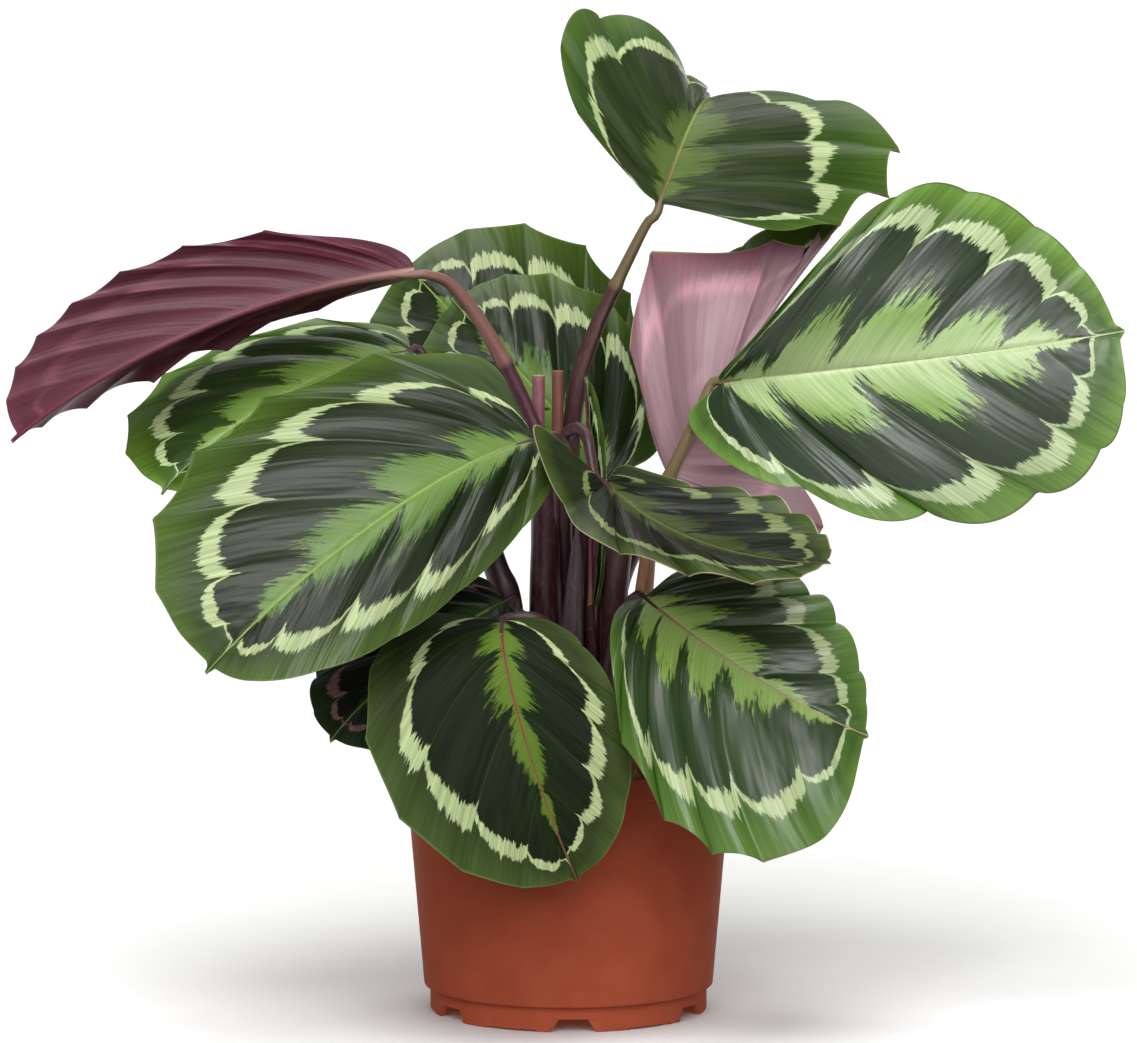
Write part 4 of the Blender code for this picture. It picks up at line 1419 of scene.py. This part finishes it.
@dataclass
class Soil:
    """The soil in millimetres: a plug with a lumpy top, strewn with crumbs of peat, bark and perlite."""

    FINISHES = (SoilFinish(), SoilFinish("bark_chips", "#3A2416", "#6A4A2E", 1.2),
                SoilFinish("perlite", "#B9B4A8", "#DAD6CC", 0.8))
    SHARES = (0.66, 0.29, 0.05)
    SIZES = (1.0, 1.3, 0.9)

    top: float = 94.6
    bottom: float = 9.6
    edge_drop: float = 2.2
    gap: float = 0.3
    rings: int = 46
    sides: int = 120
    crumbs: int = 620
    strewn_radius: float = 64.0
    stalk_room: float = 6.5
    seed: int = 5

    def radius_at(self, height: float) -> float:
        """Return the soil's radius at a height, just clear of the pot's wall."""
        return 59.0 + 7.0 * (height - 10) / 84 - self.gap

    def surface(self, x: Points, y: Points) -> Points:
        """Give the height of the lumpy top.

        Args:
            x: Places in millimetres.
            y: Places in millimetres.

        Returns:
            Heights in millimetres.
        """
        lumps = np.sin(0.31 * x + 1.3) * np.cos(0.27 * y + 0.4) + 0.6 * np.sin(0.63 * x - 0.5 * y)
        grit = 0.5 * np.sin(1.7 * x + 0.9 * y) * np.cos(1.9 * y - 1.1 * x)
        fall = self.edge_drop * (np.hypot(x, y) / 66) ** 4
        return self.top + 0.45 * lumps + 0.4 * grit - fall

    def plug(self) -> Build:
        """Build the plug under the lumpy top.

        Returns:
            The mesh data.
        """
        build = Build()
        rings = []
        for radius in np.linspace(0.4, self.radius_at(self.top), self.rings):
            level = circle(radius, 0.0, self.sides)
            level[:, 2] = self.surface(level[:, 0], level[:, 1])
            rings.append(build.ring(level))
        rings.append(build.ring(circle(self.radius_at(self.bottom), self.bottom, self.sides)))
        build.bridge(rings[::-1])
        build.faces += [rings[0], rings[-1][::-1]]
        return build

    def strewn(self) -> Build:
        """Strew uneven crumbs over the top, clear of the stalks.

        Returns:
            The mesh data, with each crumb's finish as its slot.
        """
        chance = np.random.default_rng(self.seed)
        base = np.array([(0, 0, 1), (0.9, 0, 0.2), (0.2, 0.9, 0.1), (-0.9, 0.1, 0.2), (-0.1, -0.9, 0.1),
                         (0.1, 0, -0.9)])
        faces = [(0, 1, 2), (0, 2, 3), (0, 3, 4), (0, 4, 1), (5, 2, 1), (5, 3, 2), (5, 4, 3), (5, 1, 4)]
        feet = np.array([s.path[0][:2] for s in STALKS], float)
        build = Build()
        while len(build.slots) < self.crumbs * len(faces):
            spot = chance.uniform(-65, 65, 2)
            if np.hypot(*spot) > self.strewn_radius or np.min(np.hypot(*(feet - spot).T)) < self.stalk_room:
                continue
            kind = int(chance.choice(len(self.SHARES), p=self.SHARES))
            size = chance.uniform(0.6, 1.7) * self.SIZES[kind]
            stretch = np.array([1, chance.uniform(0.5, 1), chance.uniform(0.35, 0.8)])
            turn = chance.uniform(0, 2 * math.pi)
            cos, sin = math.cos(turn), math.sin(turn)
            spin = np.array([[cos, sin, 0], [-sin, cos, 0], [0, 0, 1]])
            shaped = (base * (1 + chance.uniform(-0.25, 0.25, base.shape)) * stretch * size) @ spin
            crumb = build.ring(shaped + (*spot, float(self.surface(*spot)) + 0.25 * size))
            build.faces += [tuple(crumb[v] for v in f) for f in faces]
            build.slots += [kind] * len(faces)
        return build

    def make(self) -> None:
        """Build, paint and place the soil and its crumbs."""
        finishes = [finish.make() for finish in self.FINISHES]
        place(self.plug().object("soil_plug", finishes[:1]), "soil")
        place(self.strewn().object("soil_crumbs", finishes, angle=20))


# ------------------------------------------------------------------ stage


def look_from(item: bpy.types.Object, spot: Sequence[float], aim: Sequence[float]) -> None:
    """Put an object at a spot and turn it to an aim."""
    item.location = spot
    item.rotation_euler = (Vector(aim) - Vector(spot)).to_track_quat("-Z", "Y").to_euler()


@dataclass(frozen=True)
class Softbox:
    """A wide, far soft light. Angles are in degrees, and the azimuth runs from +X.

    The strength is that on a surface which faces it. It has no shine where it is polarised so that it
    leaves no highlight, and no fill where it leaves nothing but its highlight.
    """

    name: str
    azimuth: float
    elevation: float
    width: float
    strength: float
    shine: bool = True
    fill: bool = True
    away: float = 3.0

    def hang(self) -> None:
        """Hang the light, turned to the plant's foot."""
        data = bpy.data.lights.new(self.name, "SUN")
        data.energy = self.strength
        data.angle = math.radians(self.width)
        lamp = bpy.data.objects.new(self.name, data)
        lamp.visible_glossy = self.shine
        lamp.visible_diffuse = self.fill
        bpy.context.scene.collection.objects.link(lamp)
        look_from(lamp, self.away * heading(self.azimuth, self.elevation), (0, 0, 0))


@dataclass(frozen=True)
class Studio:
    """A pale floor that sweeps up at its edge, soft lights, a dim sky and the camera, in metres."""

    LIGHTS = (
        Softbox("key", -104, 64, 34, 2.0),
        Softbox("fill", -88, 20, 60, 2.0, shine=False),
        Softbox("back", 75, 55, 50, 0.9),
        Softbox("window", -70, 28, 22, 1.2, fill=False),
    )

    camera: tuple = (0.0, -2.2, 0.418)
    aim: tuple = (0.0, 0.0, 0.206)
    lens: float = 166.9
    sensor: float = 36.0
    reach: float = 500.0
    sky: float = 0.22
    flat_radius: float = 5.0
    sweep_radius: float = 5.0
    sweep_angle: float = 55.0
    sides: int = 128
    steps: int = 24

    def floor(self) -> None:
        """Lay the floor: satin paper, flat, with an edge that sweeps up like a paper roll."""
        build = Build()
        rings = [build.ring([(0.0, 0.0, 0.0)]) * self.sides]
        for angle in np.radians(np.linspace(0, self.sweep_angle, self.steps)):
            radius = self.flat_radius + self.sweep_radius * math.sin(angle)
            height = self.sweep_radius * (1 - math.cos(angle))
            rings.append(build.ring(circle(radius / MM, height / MM, self.sides)))
        build.bridge(rings[::-1])
        tree = Tree("pale_paper_floor")
        spot = tree.add("TexCoord", out=3)
        fibre = tree.add("TexNoise", named={"Vector": spot, "Scale": 40.0, "Detail": 2.0})
        normal = tree.add("Bump", named={"Strength": 0.05, "Distance": 0.05 * MM, "Height": fibre})
        paper = tree.finish(tree.coats("#F4F4F3", (fibre, "#F8F8F7")), normal, 0.9, Specular_IOR_Level=0.2)
        floor = build.object("floor", [paper])
        floor.visible_diffuse = False

    def make(self) -> None:
        """Set the floor, the lights, the sky and the camera."""
        self.floor()
        for light in self.LIGHTS:
            light.hang()
        scene = bpy.context.scene
        scene.world = bpy.data.worlds.new("studio_air")
        scene.world.use_nodes = True
        sky = scene.world.node_tree.nodes["Background"]
        sky.inputs["Color"].default_value = (1, 1, 1, 1)
        sky.inputs["Strength"].default_value = self.sky
        data = bpy.data.cameras.new("camera")
        data.lens = self.lens
        data.sensor_width = self.sensor
        data.clip_end = self.reach
        scene.camera = bpy.data.objects.new("camera", data)
        scene.collection.objects.link(scene.camera)
        look_from(scene.camera, self.camera, self.aim)
        scene.view_settings.view_transform = "Standard"
        scene.view_settings.look = "None"


def main() -> None:
    """Build the whole plant and its studio."""
    logging.basicConfig(level=logging.INFO, format="%(message)s")
    NurseryPot().make()
    Soil().make()
    skins: dict[str, list[bpy.types.Material]] = {}
    for shape in STALKS:
        Stalk(shape).make(skins)
    for shape in BLADES:
        Blade(shape).make()
    Studio().make()


if __name__ == "__main__":
    main()
